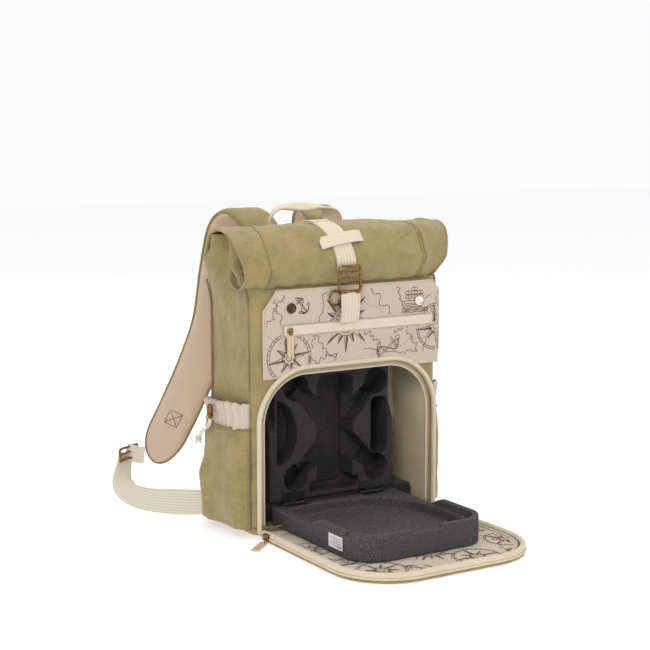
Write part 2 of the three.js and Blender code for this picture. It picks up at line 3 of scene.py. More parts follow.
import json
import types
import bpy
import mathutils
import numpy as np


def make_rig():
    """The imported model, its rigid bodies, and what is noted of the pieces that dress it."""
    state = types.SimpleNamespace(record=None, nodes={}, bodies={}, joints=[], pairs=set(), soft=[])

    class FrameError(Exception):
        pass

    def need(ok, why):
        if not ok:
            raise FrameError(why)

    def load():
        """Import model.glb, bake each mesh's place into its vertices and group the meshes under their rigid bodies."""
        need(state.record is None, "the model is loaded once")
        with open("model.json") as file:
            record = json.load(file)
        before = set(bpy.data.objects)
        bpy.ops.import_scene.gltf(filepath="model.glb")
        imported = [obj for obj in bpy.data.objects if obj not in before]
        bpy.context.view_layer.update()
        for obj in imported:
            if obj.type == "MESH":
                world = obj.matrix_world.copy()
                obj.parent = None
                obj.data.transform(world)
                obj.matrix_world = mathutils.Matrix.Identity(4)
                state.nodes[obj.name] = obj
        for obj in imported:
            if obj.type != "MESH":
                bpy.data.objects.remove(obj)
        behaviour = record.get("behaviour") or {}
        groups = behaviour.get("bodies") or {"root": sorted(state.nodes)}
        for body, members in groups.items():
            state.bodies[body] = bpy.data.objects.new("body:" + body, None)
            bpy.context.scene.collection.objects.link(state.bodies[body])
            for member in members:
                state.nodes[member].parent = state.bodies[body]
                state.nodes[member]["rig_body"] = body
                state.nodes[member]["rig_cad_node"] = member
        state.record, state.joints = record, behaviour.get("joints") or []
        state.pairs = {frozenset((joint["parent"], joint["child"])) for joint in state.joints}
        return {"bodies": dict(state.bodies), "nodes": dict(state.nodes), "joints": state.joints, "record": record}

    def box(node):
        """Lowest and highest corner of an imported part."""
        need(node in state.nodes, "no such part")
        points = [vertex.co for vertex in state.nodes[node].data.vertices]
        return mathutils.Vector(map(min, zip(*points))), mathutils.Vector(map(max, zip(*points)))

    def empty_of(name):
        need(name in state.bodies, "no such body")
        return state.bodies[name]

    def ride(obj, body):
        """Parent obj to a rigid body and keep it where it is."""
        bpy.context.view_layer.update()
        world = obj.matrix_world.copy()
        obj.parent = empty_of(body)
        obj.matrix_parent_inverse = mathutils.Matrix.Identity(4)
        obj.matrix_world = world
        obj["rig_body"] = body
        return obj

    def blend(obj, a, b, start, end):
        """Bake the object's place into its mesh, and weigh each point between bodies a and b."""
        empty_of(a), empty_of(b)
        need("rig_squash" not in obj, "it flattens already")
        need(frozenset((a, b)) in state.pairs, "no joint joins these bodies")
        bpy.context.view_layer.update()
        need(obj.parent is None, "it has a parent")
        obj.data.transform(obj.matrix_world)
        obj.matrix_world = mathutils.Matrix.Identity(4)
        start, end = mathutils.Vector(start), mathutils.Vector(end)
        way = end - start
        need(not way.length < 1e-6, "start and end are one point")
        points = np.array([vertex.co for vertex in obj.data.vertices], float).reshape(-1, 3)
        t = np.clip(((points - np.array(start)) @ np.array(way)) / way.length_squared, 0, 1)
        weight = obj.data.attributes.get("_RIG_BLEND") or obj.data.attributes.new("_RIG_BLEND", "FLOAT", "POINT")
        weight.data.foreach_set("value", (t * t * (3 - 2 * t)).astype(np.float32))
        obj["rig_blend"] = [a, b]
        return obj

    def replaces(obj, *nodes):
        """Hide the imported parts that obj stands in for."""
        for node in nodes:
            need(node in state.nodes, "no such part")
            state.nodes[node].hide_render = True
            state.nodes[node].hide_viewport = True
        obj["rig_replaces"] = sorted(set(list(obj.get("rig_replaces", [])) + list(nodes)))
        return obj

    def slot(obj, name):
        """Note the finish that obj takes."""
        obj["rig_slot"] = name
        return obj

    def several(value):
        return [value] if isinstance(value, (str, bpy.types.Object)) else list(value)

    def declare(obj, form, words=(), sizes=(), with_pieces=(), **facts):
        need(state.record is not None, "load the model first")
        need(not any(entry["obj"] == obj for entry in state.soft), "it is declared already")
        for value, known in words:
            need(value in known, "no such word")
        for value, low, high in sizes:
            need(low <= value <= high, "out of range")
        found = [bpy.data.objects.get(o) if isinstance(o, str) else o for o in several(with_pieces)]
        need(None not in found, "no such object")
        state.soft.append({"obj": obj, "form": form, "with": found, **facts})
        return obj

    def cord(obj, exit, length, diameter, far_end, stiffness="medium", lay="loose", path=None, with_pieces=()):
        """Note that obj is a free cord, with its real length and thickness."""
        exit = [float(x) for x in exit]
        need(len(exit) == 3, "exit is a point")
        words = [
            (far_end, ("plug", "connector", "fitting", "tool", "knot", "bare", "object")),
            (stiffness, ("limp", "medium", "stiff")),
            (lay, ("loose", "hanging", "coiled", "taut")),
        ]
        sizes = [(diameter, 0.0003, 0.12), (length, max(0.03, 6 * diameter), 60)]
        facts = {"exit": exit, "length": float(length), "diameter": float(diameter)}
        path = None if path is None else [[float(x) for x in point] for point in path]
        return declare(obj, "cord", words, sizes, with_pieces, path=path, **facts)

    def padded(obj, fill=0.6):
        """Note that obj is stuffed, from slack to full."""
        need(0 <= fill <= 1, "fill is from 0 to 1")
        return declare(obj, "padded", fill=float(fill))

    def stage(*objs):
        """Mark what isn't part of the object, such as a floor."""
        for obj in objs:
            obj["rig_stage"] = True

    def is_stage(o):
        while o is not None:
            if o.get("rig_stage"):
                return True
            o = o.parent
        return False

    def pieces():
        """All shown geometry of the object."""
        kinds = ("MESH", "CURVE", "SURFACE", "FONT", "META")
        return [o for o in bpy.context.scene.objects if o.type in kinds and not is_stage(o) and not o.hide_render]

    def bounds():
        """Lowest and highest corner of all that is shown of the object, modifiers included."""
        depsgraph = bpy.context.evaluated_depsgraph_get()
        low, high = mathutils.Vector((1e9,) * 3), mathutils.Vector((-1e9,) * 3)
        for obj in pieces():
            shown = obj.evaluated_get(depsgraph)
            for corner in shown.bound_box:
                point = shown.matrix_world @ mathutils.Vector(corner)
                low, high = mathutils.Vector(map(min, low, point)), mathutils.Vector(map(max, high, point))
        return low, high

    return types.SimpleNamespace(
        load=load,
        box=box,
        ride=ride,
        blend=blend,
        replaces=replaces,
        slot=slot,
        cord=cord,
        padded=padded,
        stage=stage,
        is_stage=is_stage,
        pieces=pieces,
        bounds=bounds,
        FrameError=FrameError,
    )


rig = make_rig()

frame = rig.load()
CAD_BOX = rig.bounds()

import json
import math

import bmesh
import bpy
import numpy as np
from mathutils import Matrix, Vector, noise

MM = 0.001
TAU = 2 * math.pi

# ------------------------------------------------------------------ places taken from the frame
BODY_LOW, BODY_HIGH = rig.box("main_shell")
ROLL_LOW, ROLL_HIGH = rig.box("roll_top")
PANEL_LOW, PANEL_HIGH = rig.box("front_panel")
DOOR_LOW, DOOR_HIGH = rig.box("door_panel")
RIM_LOW, RIM_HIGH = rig.box("door_rim")
PIPING_LOW, PIPING_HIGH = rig.box("opening_piping")
LINING_LOW, LINING_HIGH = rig.box("compartment_lining")

HALF_WIDTH = BODY_HIGH[0]
FRONT = BODY_LOW[1]
BACK = BODY_HIGH[1]
ROLL_Y = (ROLL_LOW[1] + ROLL_HIGH[1]) / 2
ROLL_Z = (ROLL_LOW[2] + ROLL_HIGH[2]) / 2
ROLL_RY = (ROLL_HIGH[1] - ROLL_LOW[1]) / 2
ROLL_RZ = (ROLL_HIGH[2] - ROLL_LOW[2]) / 2
PIPING_BAND = 7 * MM
OPENING_HALF = PIPING_HIGH[0] - PIPING_BAND
OPENING_TOP = PIPING_HIGH[2] - PIPING_BAND
OPENING_BOTTOM = PIPING_LOW[2]
OPENING_CORNER = 62 * MM
DOOR_CORNER = 74 * MM


# ------------------------------------------------------------------ node material helpers
class Nodes:
    """A small wrapper to write a procedural material in few lines."""

    def __init__(self, name):
        self.material = bpy.data.materials.new(name)
        self.material.use_nodes = True
        self.tree = self.material.node_tree
        self.tree.nodes.clear()
        self.out = self.tree.nodes.new("ShaderNodeOutputMaterial")
        self.shader = self.tree.nodes.new("ShaderNodeBsdfPrincipled")
        self.link(self.shader.outputs["BSDF"], self.out.inputs["Surface"])
        self.coords = self.tree.nodes.new("ShaderNodeTexCoord")

    def link(self, a, b):
        self.tree.links.new(a, b)

    def put(self, socket, value):
        if hasattr(value, "is_output"):
            self.link(value, socket)
        else:
            socket.default_value = value

    def mapping(self, scale, source="Object"):
        node = self.tree.nodes.new("ShaderNodeMapping")
        node.inputs["Scale"].default_value = scale
        self.link(self.coords.outputs[source], node.inputs["Vector"])
        return node.outputs["Vector"]

    def noise(self, scale, detail=3.0, rough=0.55, vector=None):
        node = self.tree.nodes.new("ShaderNodeTexNoise")
        node.inputs["Scale"].default_value = scale
        node.inputs["Detail"].default_value = detail
        node.inputs["Roughness"].default_value = rough
        self.link(vector or self.coords.outputs["Object"], node.inputs["Vector"])
        return node.outputs["Fac"]

    def wave(self, scale, axis, distortion):
        node = self.tree.nodes.new("ShaderNodeTexWave")
        node.wave_type = "BANDS"
        node.bands_direction = axis
        node.wave_profile = "SIN"
        node.inputs["Scale"].default_value = scale
        node.inputs["Distortion"].default_value = distortion
        node.inputs["Detail"].default_value = 1.0
        node.inputs["Detail Scale"].default_value = 2.0
        self.link(self.coords.outputs["Object"], node.inputs["Vector"])
        return node.outputs["Fac"]

    def voronoi(self, scale, feature, output="Distance"):
        node = self.tree.nodes.new("ShaderNodeTexVoronoi")
        node.feature = feature
        node.inputs["Scale"].default_value = scale
        self.link(self.coords.outputs["Object"], node.inputs["Vector"])
        return node.outputs[output]

    def math(self, operation, a, b=0.0, clamp=False):
        node = self.tree.nodes.new("ShaderNodeMath")
        node.operation = operation
        node.use_clamp = clamp
        self.put(node.inputs[0], a)
        self.put(node.inputs[1], b)
        return node.outputs[0]

    def ramp(self, value, stops):
        node = self.tree.nodes.new("ShaderNodeValToRGB")
        ramp = node.color_ramp
        while len(ramp.elements) < len(stops):
            ramp.elements.new(0.5)
        for element, (position, color) in zip(ramp.elements, stops):
            element.position = position
            element.color = (*color, 1.0) if len(color) == 3 else color
        self.link(value, node.inputs["Fac"])
        return node.outputs["Color"]

    def mix(self, factor, a, b):
        node = self.tree.nodes.new("ShaderNodeMix")
        node.data_type = "RGBA"
        self.put(node.inputs[0], factor)
        self.put(node.inputs[6], a if hasattr(a, "is_output") else (*a, 1.0))
        self.put(node.inputs[7], b if hasattr(b, "is_output") else (*b, 1.0))
        return node.outputs[2]

    def bump(self, layers):
        """layers is a list of (height socket, strength, distance in metres)."""
        normal = None
        for height, strength, distance in layers:
            node = self.tree.nodes.new("ShaderNodeBump")
            node.inputs["Strength"].default_value = strength
            node.inputs["Distance"].default_value = distance
            self.link(height, node.inputs["Height"])
            if normal is not None:
                self.link(normal, node.inputs["Normal"])
            normal = node.outputs["Normal"]
        self.link(normal, self.shader.inputs["Normal"])

    def done(self, **sockets):
        for name, value in sockets.items():
            self.put(self.shader.inputs[name.replace("_", " ")], value)
        return self.material


def linear(r, g, b):
    """sRGB 0..255 to the linear values that a shader takes."""
    shares = [c / 255 for c in (r, g, b)]
    return tuple(c / 12.92 if c < 0.04045 else ((c + 0.055) / 1.055) ** 2.4 for c in shares)


def weave_height(n, thread):
    """A plain weave: two crossed bands over every direction, of the given thread size."""
    scale = 1 / (thread * 2 * 3.2)
    a, b, c = (n.wave(scale, axis, 0.6) for axis in "XYZ")
    return n.math("ADD", n.math("MAXIMUM", a, b), c)


def canvas_material(name="canvas_cloth", tint=(150, 133, 90)):
    """Waxed canvas: washed-out patches, fibres and a fine weave."""
    n = Nodes(name)
    base = linear(*tint)
    dark = tuple(c * 0.58 for c in base)
    light = tuple(min(1, c * 1.4) for c in base)
    wash = n.ramp(n.noise(38, 7, 0.74), [(0.3, dark), (0.5, base), (0.72, light)])
    patch = n.noise(60, 5, 0.7, n.mapping((1, 1, 0.55)))
    fine = n.noise(700, 3, 0.75)
    fibre = n.noise(1500, 2, 0.6)
    fold = n.math("ABSOLUTE", n.math("SUBTRACT", n.noise(22, 6, 0.62), 0.5))
    worn = n.ramp(fold, [(0.0, (0.55, 0.55, 0.55)), (0.035, (0, 0, 0))])
    colour = n.mix(n.math("MULTIPLY", n.math("POWER", patch, 2.0), 0.8), wash, light)
    colour = n.mix(worn, colour, light)
    colour = n.mix(n.math("MULTIPLY", fine, 0.6), colour, dark)
    colour = n.mix(n.math("MULTIPLY", n.math("POWER", fibre, 4.0), 2.6, clamp=True), colour, light)
    n.bump([(fold, 0.7, 5 * MM), (n.noise(70, 5, 0.7), 0.6, 1.0 * MM),
            (weave_height(n, 0.5 * MM), 0.4, 0.14 * MM),
            (fine, 0.5, 0.2 * MM)])
    rough = n.math("ADD", 0.74, n.math("MULTIPLY", fine, 0.2))
    return n.done(Base_Color=colour, Roughness=rough, Sheen_Weight=0.2, Sheen_Roughness=0.5,
                  Specular_IOR_Level=0.3)


def cloth_material(name, tint, thread=0.35 * MM):
    """Plain woven cloth with faint patches."""
    n = Nodes(name)
    base = linear(*tint)
    fine = n.noise(600, 2, 0.6)
    wash = n.noise(26, 3, 0.6)
    colour = n.mix(wash, tuple(c * 0.9 for c in base), tuple(min(1, c * 1.05) for c in base))
    colour = n.mix(n.math("MULTIPLY", fine, 0.25), colour, tuple(c * 0.8 for c in base))
    n.bump([(weave_height(n, thread), 0.3, 0.1 * MM), (n.noise(160, 3), 0.2, 0.3 * MM)])
    return n.done(Base_Color=colour, Roughness=0.88, Sheen_Weight=0.2, Sheen_Roughness=0.5,
                  Specular_IOR_Level=0.25)


def webbing_material(name, tint, ribs=6):
    """Woven webbing: ribs along its length from the UV's across direction, painted shade in the grooves between them,
    and a fine weft.
    """
    n = Nodes(name)
    base = linear(*tint)
    across = n.mapping((1, 1, 1), "UV")
    separate = n.tree.nodes.new("ShaderNodeSeparateXYZ")
    n.link(across, separate.inputs[0])
    rib = n.math("SINE", n.math("MULTIPLY", separate.outputs[1], TAU * ribs))
    weft = n.math("SINE", n.math("MULTIPLY", separate.outputs[0], TAU / (1.1 * MM)))
    groove = n.math("POWER", n.math("MULTIPLY", n.math("ADD", rib, 1.0), 0.5), 4.0)
    fine = n.noise(500, 2, 0.6)
    # the grooves between the ribs are painted darker: painted shade
    colour = n.mix(n.math("MULTIPLY", groove, 0.55), base, tuple(c * 0.6 for c in base))
    colour = n.mix(n.math("MULTIPLY", fine, 0.25), colour, tuple(c * 0.8 for c in base))
    n.bump([(n.math("MULTIPLY", groove, -1.0), 0.5, 0.35 * MM), (weft, 0.25, 0.12 * MM),
            (fine, 0.2, 0.1 * MM)])
    return n.done(Base_Color=colour, Roughness=0.8, Sheen_Weight=0.2, Specular_IOR_Level=0.3)


def foam_material(name, shade):
    """Moulded bead foam: polygonal beads with shallow joints and fine specks of painted glints; shade darkens it all
    as painted shade.
    """
    n = Nodes(name)
    bead = n.voronoi(330, "DISTANCE_TO_EDGE")
    tone = n.voronoi(330, "F1", output="Color")
    grey = n.tree.nodes.new("ShaderNodeSeparateColor")
    n.link(tone, grey.inputs[0])
    joint = n.math("MULTIPLY", bead, 9.0, clamp=True)
    fine = n.noise(1400, 2, 0.7)
    # shade scales the bead tones down: painted shade
    dark = tuple(c * shade for c in linear(15, 14, 17))
    light = tuple(c * shade for c in linear(50, 47, 52))
    colour = n.mix(n.math("MULTIPLY", grey.outputs[0], 0.65), dark, light)
    colour = n.mix(joint, linear(18, 16, 20), colour)
    # light specks: painted glints on the bead faces, dimmed by the painted shade
    glint_speckle = n.math("MULTIPLY", n.math("POWER", fine, 4.0), 2.8 * shade, clamp=True)
    colour = n.mix(glint_speckle, colour, linear(180, 172, 176))
    n.bump([(joint, 0.45, 0.25 * MM), (fine, 0.5, 0.12 * MM)])
    rough = n.math("ADD", 0.7, n.math("MULTIPLY", grey.outputs[1], 0.2))
    return n.done(Base_Color=colour, Roughness=rough, Specular_IOR_Level=0.14)


def metal_material(name, tint, roughness, patina):
    """Metal worn in patches; patina is how bright the dull patches are."""
    n = Nodes(name)
    base = linear(*tint)
    wear = n.noise(240, 4, 0.65)
    fine = n.noise(1600, 2, 0.6)
    polish = n.ramp(wear, [(0.42, (0, 0, 0)), (0.62, (1, 1, 1))])
    colour = n.mix(polish, tuple(c * patina for c in base), base)
    n.bump([(wear, 0.15, 0.1 * MM), (fine, 0.1, 0.05 * MM)])
    rough = n.math("ADD", roughness, n.math("MULTIPLY", wear, 0.18))
    return n.done(Base_Color=colour, Metallic=1.0, Roughness=rough)


def plain_material(name, tint, roughness, grain=900):
    n = Nodes(name)
    base = linear(*tint)
    fine = n.noise(grain, 3, 0.6)
    colour = n.mix(fine, tuple(c * 0.85 for c in base), tuple(min(1, c * 1.08) for c in base))
    n.bump([(fine, 0.2, 0.08 * MM)])
    return n.done(Base_Color=colour, Roughness=roughness, Specular_IOR_Level=0.4)


CANVAS = canvas_material()
# A darker copy of the canvas for seams, hems and the strap's bound edge: painted shade along their folds.
CANVAS_SEAM_SHADE = canvas_material("canvas_seam", (130, 116, 78))
LINING = cloth_material("lining_cloth", (202, 186, 168))
PRINT = plain_material("print_ink", (84, 64, 62), 0.85)
BINDING = cloth_material("binding_cloth", (217, 203, 178))
ZIP_TAPE = cloth_material("zip_tape", (222, 208, 188), 0.25 * MM)
WELT = cloth_material("zip_welt", (190, 174, 146), 0.25 * MM)
PAD_DARK = cloth_material("pad_cloth", (52, 47, 50), 0.4 * MM)
ZIP_COIL = plain_material("zip_coil", (214, 202, 182), 0.5)
INNER = cloth_material("inner_cloth", (208, 192, 156))
WEBBING = webbing_material("cotton_webbing", (226, 208, 186))
WEBBING_SMOOTH = webbing_material("strap_webbing", (224, 214, 198), 9)
PADDING = cloth_material("padding_cloth", (203, 180, 158), 0.5 * MM)
CUFF = cloth_material("cuff_cloth", (206, 189, 177))
CORD = cloth_material("cord_cloth", (226, 208, 194), 0.6 * MM)
LEATHER = plain_material("tab_leather", (205, 184, 150), 0.6)
STITCH = plain_material("stitch_thread", (222, 208, 180), 0.8)
STITCH_OLIVE = plain_material("stitch_olive", (120, 108, 72), 0.85)
# The lid's foam, painted a little darker (0.85) as painted shade over its top recess.
FOAM = foam_material("bead_foam", 0.85)
# The tray's foam: the same bead foam painted much darker (0.4) as painted shade in the case's cavity.
FOAM_PAINTED_SHADE = foam_material("shaded_foam", 0.4)
PLASTIC = plain_material("hinge_plastic", (30, 29, 31), 0.42)
BRASS = metal_material("antique_brass", (166, 130, 78), 0.3, 0.45)
BRONZE = metal_material("dark_bronze", (112, 84, 60), 0.35, 0.5)
STEEL = metal_material("bright_metal", (238, 234, 226), 0.22, 0.85)
LABEL = plain_material("label_paper", (226, 226, 224), 0.7)
LABEL_INK = plain_material("label_ink", (150, 150, 150), 0.7)


# ------------------------------------------------------------------ mesh helpers
def new_object(name, verts, faces, material, smooth=True):
    mesh = bpy.data.meshes.new(name)
    mesh.from_pydata([tuple(v) for v in verts], [], faces)
    mesh.validate()
    mesh.update()
    obj = bpy.data.objects.new(name, mesh)
    bpy.context.scene.collection.objects.link(obj)
    mesh.materials.append(material)
    for p in mesh.polygons:
        p.use_smooth = smooth
    return obj


def face_out(obj):
    bm = bmesh.new()
    bm.from_mesh(obj.data)
    bmesh.ops.recalc_face_normals(bm, faces=bm.faces)
    bm.to_mesh(obj.data)
    bm.free()
    return obj


def applied(obj):
    """Applies every modifier on obj."""
    depsgraph = bpy.context.evaluated_depsgraph_get()
    mesh = bpy.data.meshes.new_from_object(obj.evaluated_get(depsgraph))
    old = obj.data
    obj.modifiers.clear()
    obj.data = mesh
    bpy.data.meshes.remove(old)
    return obj


def solidify(obj, thickness, offset=-1.0):
    m = obj.modifiers.new("thick", "SOLIDIFY")
    m.thickness = thickness
    m.offset = offset
    return applied(obj)


def bevelled(obj, width, segments=2):
    m = obj.modifiers.new("edge", "BEVEL")
    m.width = width
    m.segments = segments
    m.limit_method = "ANGLE"
    return applied(obj)


def remeshed(obj, voxel, smoothing=4):
    m = obj.modifiers.new("remesh", "REMESH")
    m.mode = "VOXEL"
    m.voxel_size = voxel
    m.use_smooth_shade = True
    if smoothing:
        s = obj.modifiers.new("smooth", "SMOOTH")
        s.factor = 0.5
        s.iterations = smoothing
    return applied(obj)


def displaced(obj, move):
    """Moves each vertex by move(position, normal), a vector in metres."""
    mesh = obj.data
    normals = [v.normal.copy() for v in mesh.vertices]
    for v, normal in zip(mesh.vertices, normals):
        v.co += move(v.co, normal)
    mesh.update()
    return obj


def grid(name, point, nu, nv, material, closed_u=False):
    """A surface of points point(u, v), u and v from 0 to 1, with UVs."""
    columns = nu if closed_u else nu + 1
    verts = [point(i / nu, j / nv) for j in range(nv + 1) for i in range(columns)]
    faces = []
    for j in range(nv):
        for i in range(nu):
            a = j * columns + i
            b = j * columns + (i + 1) % columns
            faces.append((a, b, b + columns, a + columns))
    return new_object(name, verts, faces, material)


def spline(points, count, closed=False):
    """count points on a Catmull-Rom curve through points, evenly spaced in length."""
    p = np.array(points, float)
    if closed:
        p = np.vstack([p[-1], p, p[0], p[1]])
    else:
        p = np.vstack([2 * p[0] - p[1], p, 2 * p[-1] - p[-2]])
    fine = []
    steps = 24
    for i in range(1, len(p) - 2):
        for k in range(steps):
            t = k / steps
            a, b, c, d = p[i - 1], p[i], p[i + 1], p[i + 2]
            fine.append(0.5 * (2 * b + (c - a) * t + (2 * a - 5 * b + 4 * c - d) * t * t
                               + (3 * b - a - 3 * c + d) * t ** 3))
    fine.append(p[-2])
    fine = np.array(fine)
    length = np.concatenate([[0], np.cumsum(np.linalg.norm(np.diff(fine, axis=0), axis=1))])
    at = np.linspace(0, length[-1], count + 1)[:-1] if closed else np.linspace(0, length[-1], count)
    return np.column_stack([np.interp(at, length, fine[:, k]) for k in range(fine.shape[1])])


def directions(centres, closed=False):
    """Unit tangents of a path."""
    if closed:
        tangents = np.roll(centres, -1, 0) - np.roll(centres, 1, 0)
    else:
        tangents = np.gradient(centres, axis=0)
    return tangents / np.linalg.norm(tangents, axis=1)[:, None]


def squared(sides, tangents):
    """Unit sides made square to the tangents, and the third direction."""
    sides = sides - (sides * tangents).sum(1)[:, None] * tangents
    sides /= np.linalg.norm(sides, axis=1)[:, None]
    return sides, np.cross(tangents, sides)


def loft(name, centres, sides, section, material, closed=False, scale=None):
    """Sweeps a closed section [(across, up)] along centres. sides gives each station's across direction."""
    centres = np.array(centres, float)
    n = len(centres)
    sides, ups = squared(np.array(sides, float), directions(centres, closed))
    k = len(section)
    verts = []
    for i in range(n):
        w, h = scale(i / (n - 1)) if scale else (1, 1)
        for a, b in section:
            verts.append(centres[i] + sides[i] * a * w + ups[i] * b * h)
    faces = []
    rings = n if closed else n - 1
    for i in range(rings):
        for j in range(k):
            a, b = i * k + j, i * k + (j + 1) % k
            c, d = ((i + 1) % n) * k + (j + 1) % k, ((i + 1) % n) * k + j
            faces.append((a, b, c, d))
    if not closed:
        faces.append(tuple(range(k))[::-1])
        faces.append(tuple((n - 1) * k + j for j in range(k)))
    obj = new_object(name, verts, faces, material)
    length = np.concatenate([[0], np.cumsum(np.linalg.norm(np.diff(centres, axis=0), axis=1))])
    if closed:
        length = np.append(length, length[-1] + np.linalg.norm(centres[0] - centres[-1]))
    across = np.array([a for a, b in section])
    low, span = across.min(), max(np.ptp(across), 1e-9)
    layer = obj.data.uv_layers.new(name="UVMap")
    for polygon in obj.data.polygons:
        wrap = closed and max(obj.data.loops[i].vertex_index // k for i in polygon.loop_indices) == n - 1 \
            and min(obj.data.loops[i].vertex_index // k for i in polygon.loop_indices) == 0
        for i in polygon.loop_indices:
            index = obj.data.loops[i].vertex_index
            ring = index // k
            u = length[n] if wrap and ring == 0 else length[ring]
            layer.data[i].uv = (u, (across[index % k] - low) / span)
    return face_out(obj)


def flat_section(width, thick, rows=10):
    """A flat band's rounded section."""
    w, t = width / 2, thick / 2
    top = [(-w + 2 * w * i / rows, t) for i in range(rows + 1)]
    bottom = [(w - 2 * w * i / rows, -t) for i in range(rows + 1)]
    return [(-w - t * 0.7, 0)] + top + [(w + t * 0.7, 0)] + bottom


def round_section(radius, sides=10, squash=1.0):
    turns = [TAU * i / sides for i in range(sides)]
    return [(radius * math.cos(a), squash * radius * math.sin(a)) for a in turns]


def tube(name, points, radius, material, sides=10, closed=False, squash=1.0, side=(0, 0, 1)):
    """A round tube. side is any direction that the path never runs along for long."""
    return loft(name, points, [side] * len(points), round_section(radius, sides, squash), material, closed)


def joined(name, objects):
    """Joins objects into the first one and renames it."""
    bpy.ops.object.select_all(action="DESELECT")
    for o in objects:
        o.select_set(True)
    bpy.context.view_layer.objects.active = objects[0]
    if len(objects) > 1:
        bpy.ops.object.join()
    objects[0].name = name
    objects[0].data.name = name
    return objects[0]


def prism(name, outline, low, high, material, axis="Z"):
    """An outline [(a, b)] given thickness from low to high along an axis; for Y the outline is (x, z)."""
    n = len(outline)
    if axis == "Z":
        verts = [(a, b, low) for a, b in outline] + [(a, b, high) for a, b in outline]
    else:
        verts = [(a, low, b) for a, b in outline] + [(a, high, b) for a, b in outline]
    faces = [tuple(range(n)), tuple(range(2 * n - 1, n - 1, -1))]
    faces += [(i, (i + 1) % n, (i + 1) % n + n, i + n) for i in range(n)]
    return face_out(new_object(name, verts, faces, material, smooth=False))


def boolean(obj, cutter):
    """Cuts cutter out of obj and deletes the cutter."""
    m = obj.modifiers.new("cut", "BOOLEAN")
    m.operation = "DIFFERENCE"
    m.solver = "EXACT"
    m.object = cutter
    applied(obj)
    bpy.data.objects.remove(cutter)
    return obj


def cad_copy(name, node, material):
    """A new piece with the same shape as a CAD node."""
    source = frame["nodes"][node]
    mesh = source.data.copy()
    mesh.materials.clear()
    obj = bpy.data.objects.new(name, mesh)
    bpy.context.scene.collection.objects.link(obj)
    mesh.transform(source.matrix_world)
    mesh.materials.append(material)
    bm = bmesh.new()
    bm.from_mesh(mesh)
    bmesh.ops.remove_doubles(bm, verts=bm.verts, dist=1e-6)
    bm.to_mesh(mesh)
    bm.free()
    return obj


def place(obj, body, slot, *nodes, pad=None):
    """Declares a finished piece."""
    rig.ride(obj, body)
    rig.slot(obj, slot)
    if nodes:
        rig.replaces(obj, *nodes)
    if pad is not None:
        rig.padded(obj, fill=pad)
    return obj


def wobble(x, y, z, scale):
    """Smooth noise from -1 to 1; scale is the wavelength in metres."""
    return noise.noise(Vector((x / scale, y / scale, z / scale)))


def smooth_step(a, b, t):
    """0 at a and before it, 1 at b and after it, eased between; b may be lower than a."""
    t = min(1.0, max(0.0, (t - a) / (b - a)))
    return t * t * (3 - 2 * t)


def polar(cx, cy, r, a):
    """The point at distance r and angle a from (cx, cy)."""
    return cx + r * math.cos(a), cy + r * math.sin(a)


def rectangle(x0, x1, y0, y1):
    return [(x0, y0), (x1, y0), (x1, y1), (x0, y1)]


def arch_path(half, bottom, top, corner, steps=14):
    """Points of an upside-down U: up the left side, over, and down the right, as (across, up)."""
    points = [(-half, bottom + (top - corner - bottom) * i / 8) for i in range(9)]
    for i in range(1, steps + 1):
        a = math.pi - (math.pi / 2) * i / steps
        points.append(polar(corner - half, top - corner, corner, a))
    flat = half - corner
    points += [(-flat + 2 * flat * i / 8, top) for i in range(1, 9)]
    for i in range(1, steps + 1):
        a = math.pi / 2 - (math.pi / 2) * i / steps
        points.append(polar(half - corner, top - corner, corner, a))
    points += [(half, top - corner - (top - corner - bottom) * i / 8) for i in range(1, 9)]
    return points


# ------------------------------------------------------------------ the bag's cloth
ROOM_FLOOR = 8 * MM
ZIP_FOOT = 12 * MM
# How far outside the CAD's opening each of these runs; the coil runs inside it.
CANVAS_EDGE_OUT = 3 * MM
BINDING_OUT = 7 * MM
TAPE_OUT = 1 * MM
COIL_OUT = -2 * MM


def opening_arch(out, bottom):
    return arch_path(OPENING_HALF + out, bottom, OPENING_TOP + out, OPENING_CORNER + out)


SEAM_Z = BODY_HIGH[2] - 15 * MM
NECK_TOP = ROLL_Z + ROLL_RZ * 0.72


def body_row(z):
    """Half width, front y, back y and corner radius of the bag's outer surface at height z."""
    base_round = 12 * MM
    low = max(0.0, 1 - z / base_round)
    shrink = base_round * (1 - math.sqrt(max(0.0, 1 - low * low)))
    rise = smooth_step(SEAM_Z - 10 * MM, ROLL_Z, z)
    half = HALF_WIDTH - shrink + 9 * MM * rise
    front = FRONT + shrink + smooth_step(SEAM_Z + 12 * MM, ROLL_Z, z) * 40 * MM
    back = BACK - shrink - 26 * MM * smooth_step(ROLL_Z - 0.5 * ROLL_RZ, NECK_TOP + 6 * MM, z)
    return half, front, back, 13 * MM


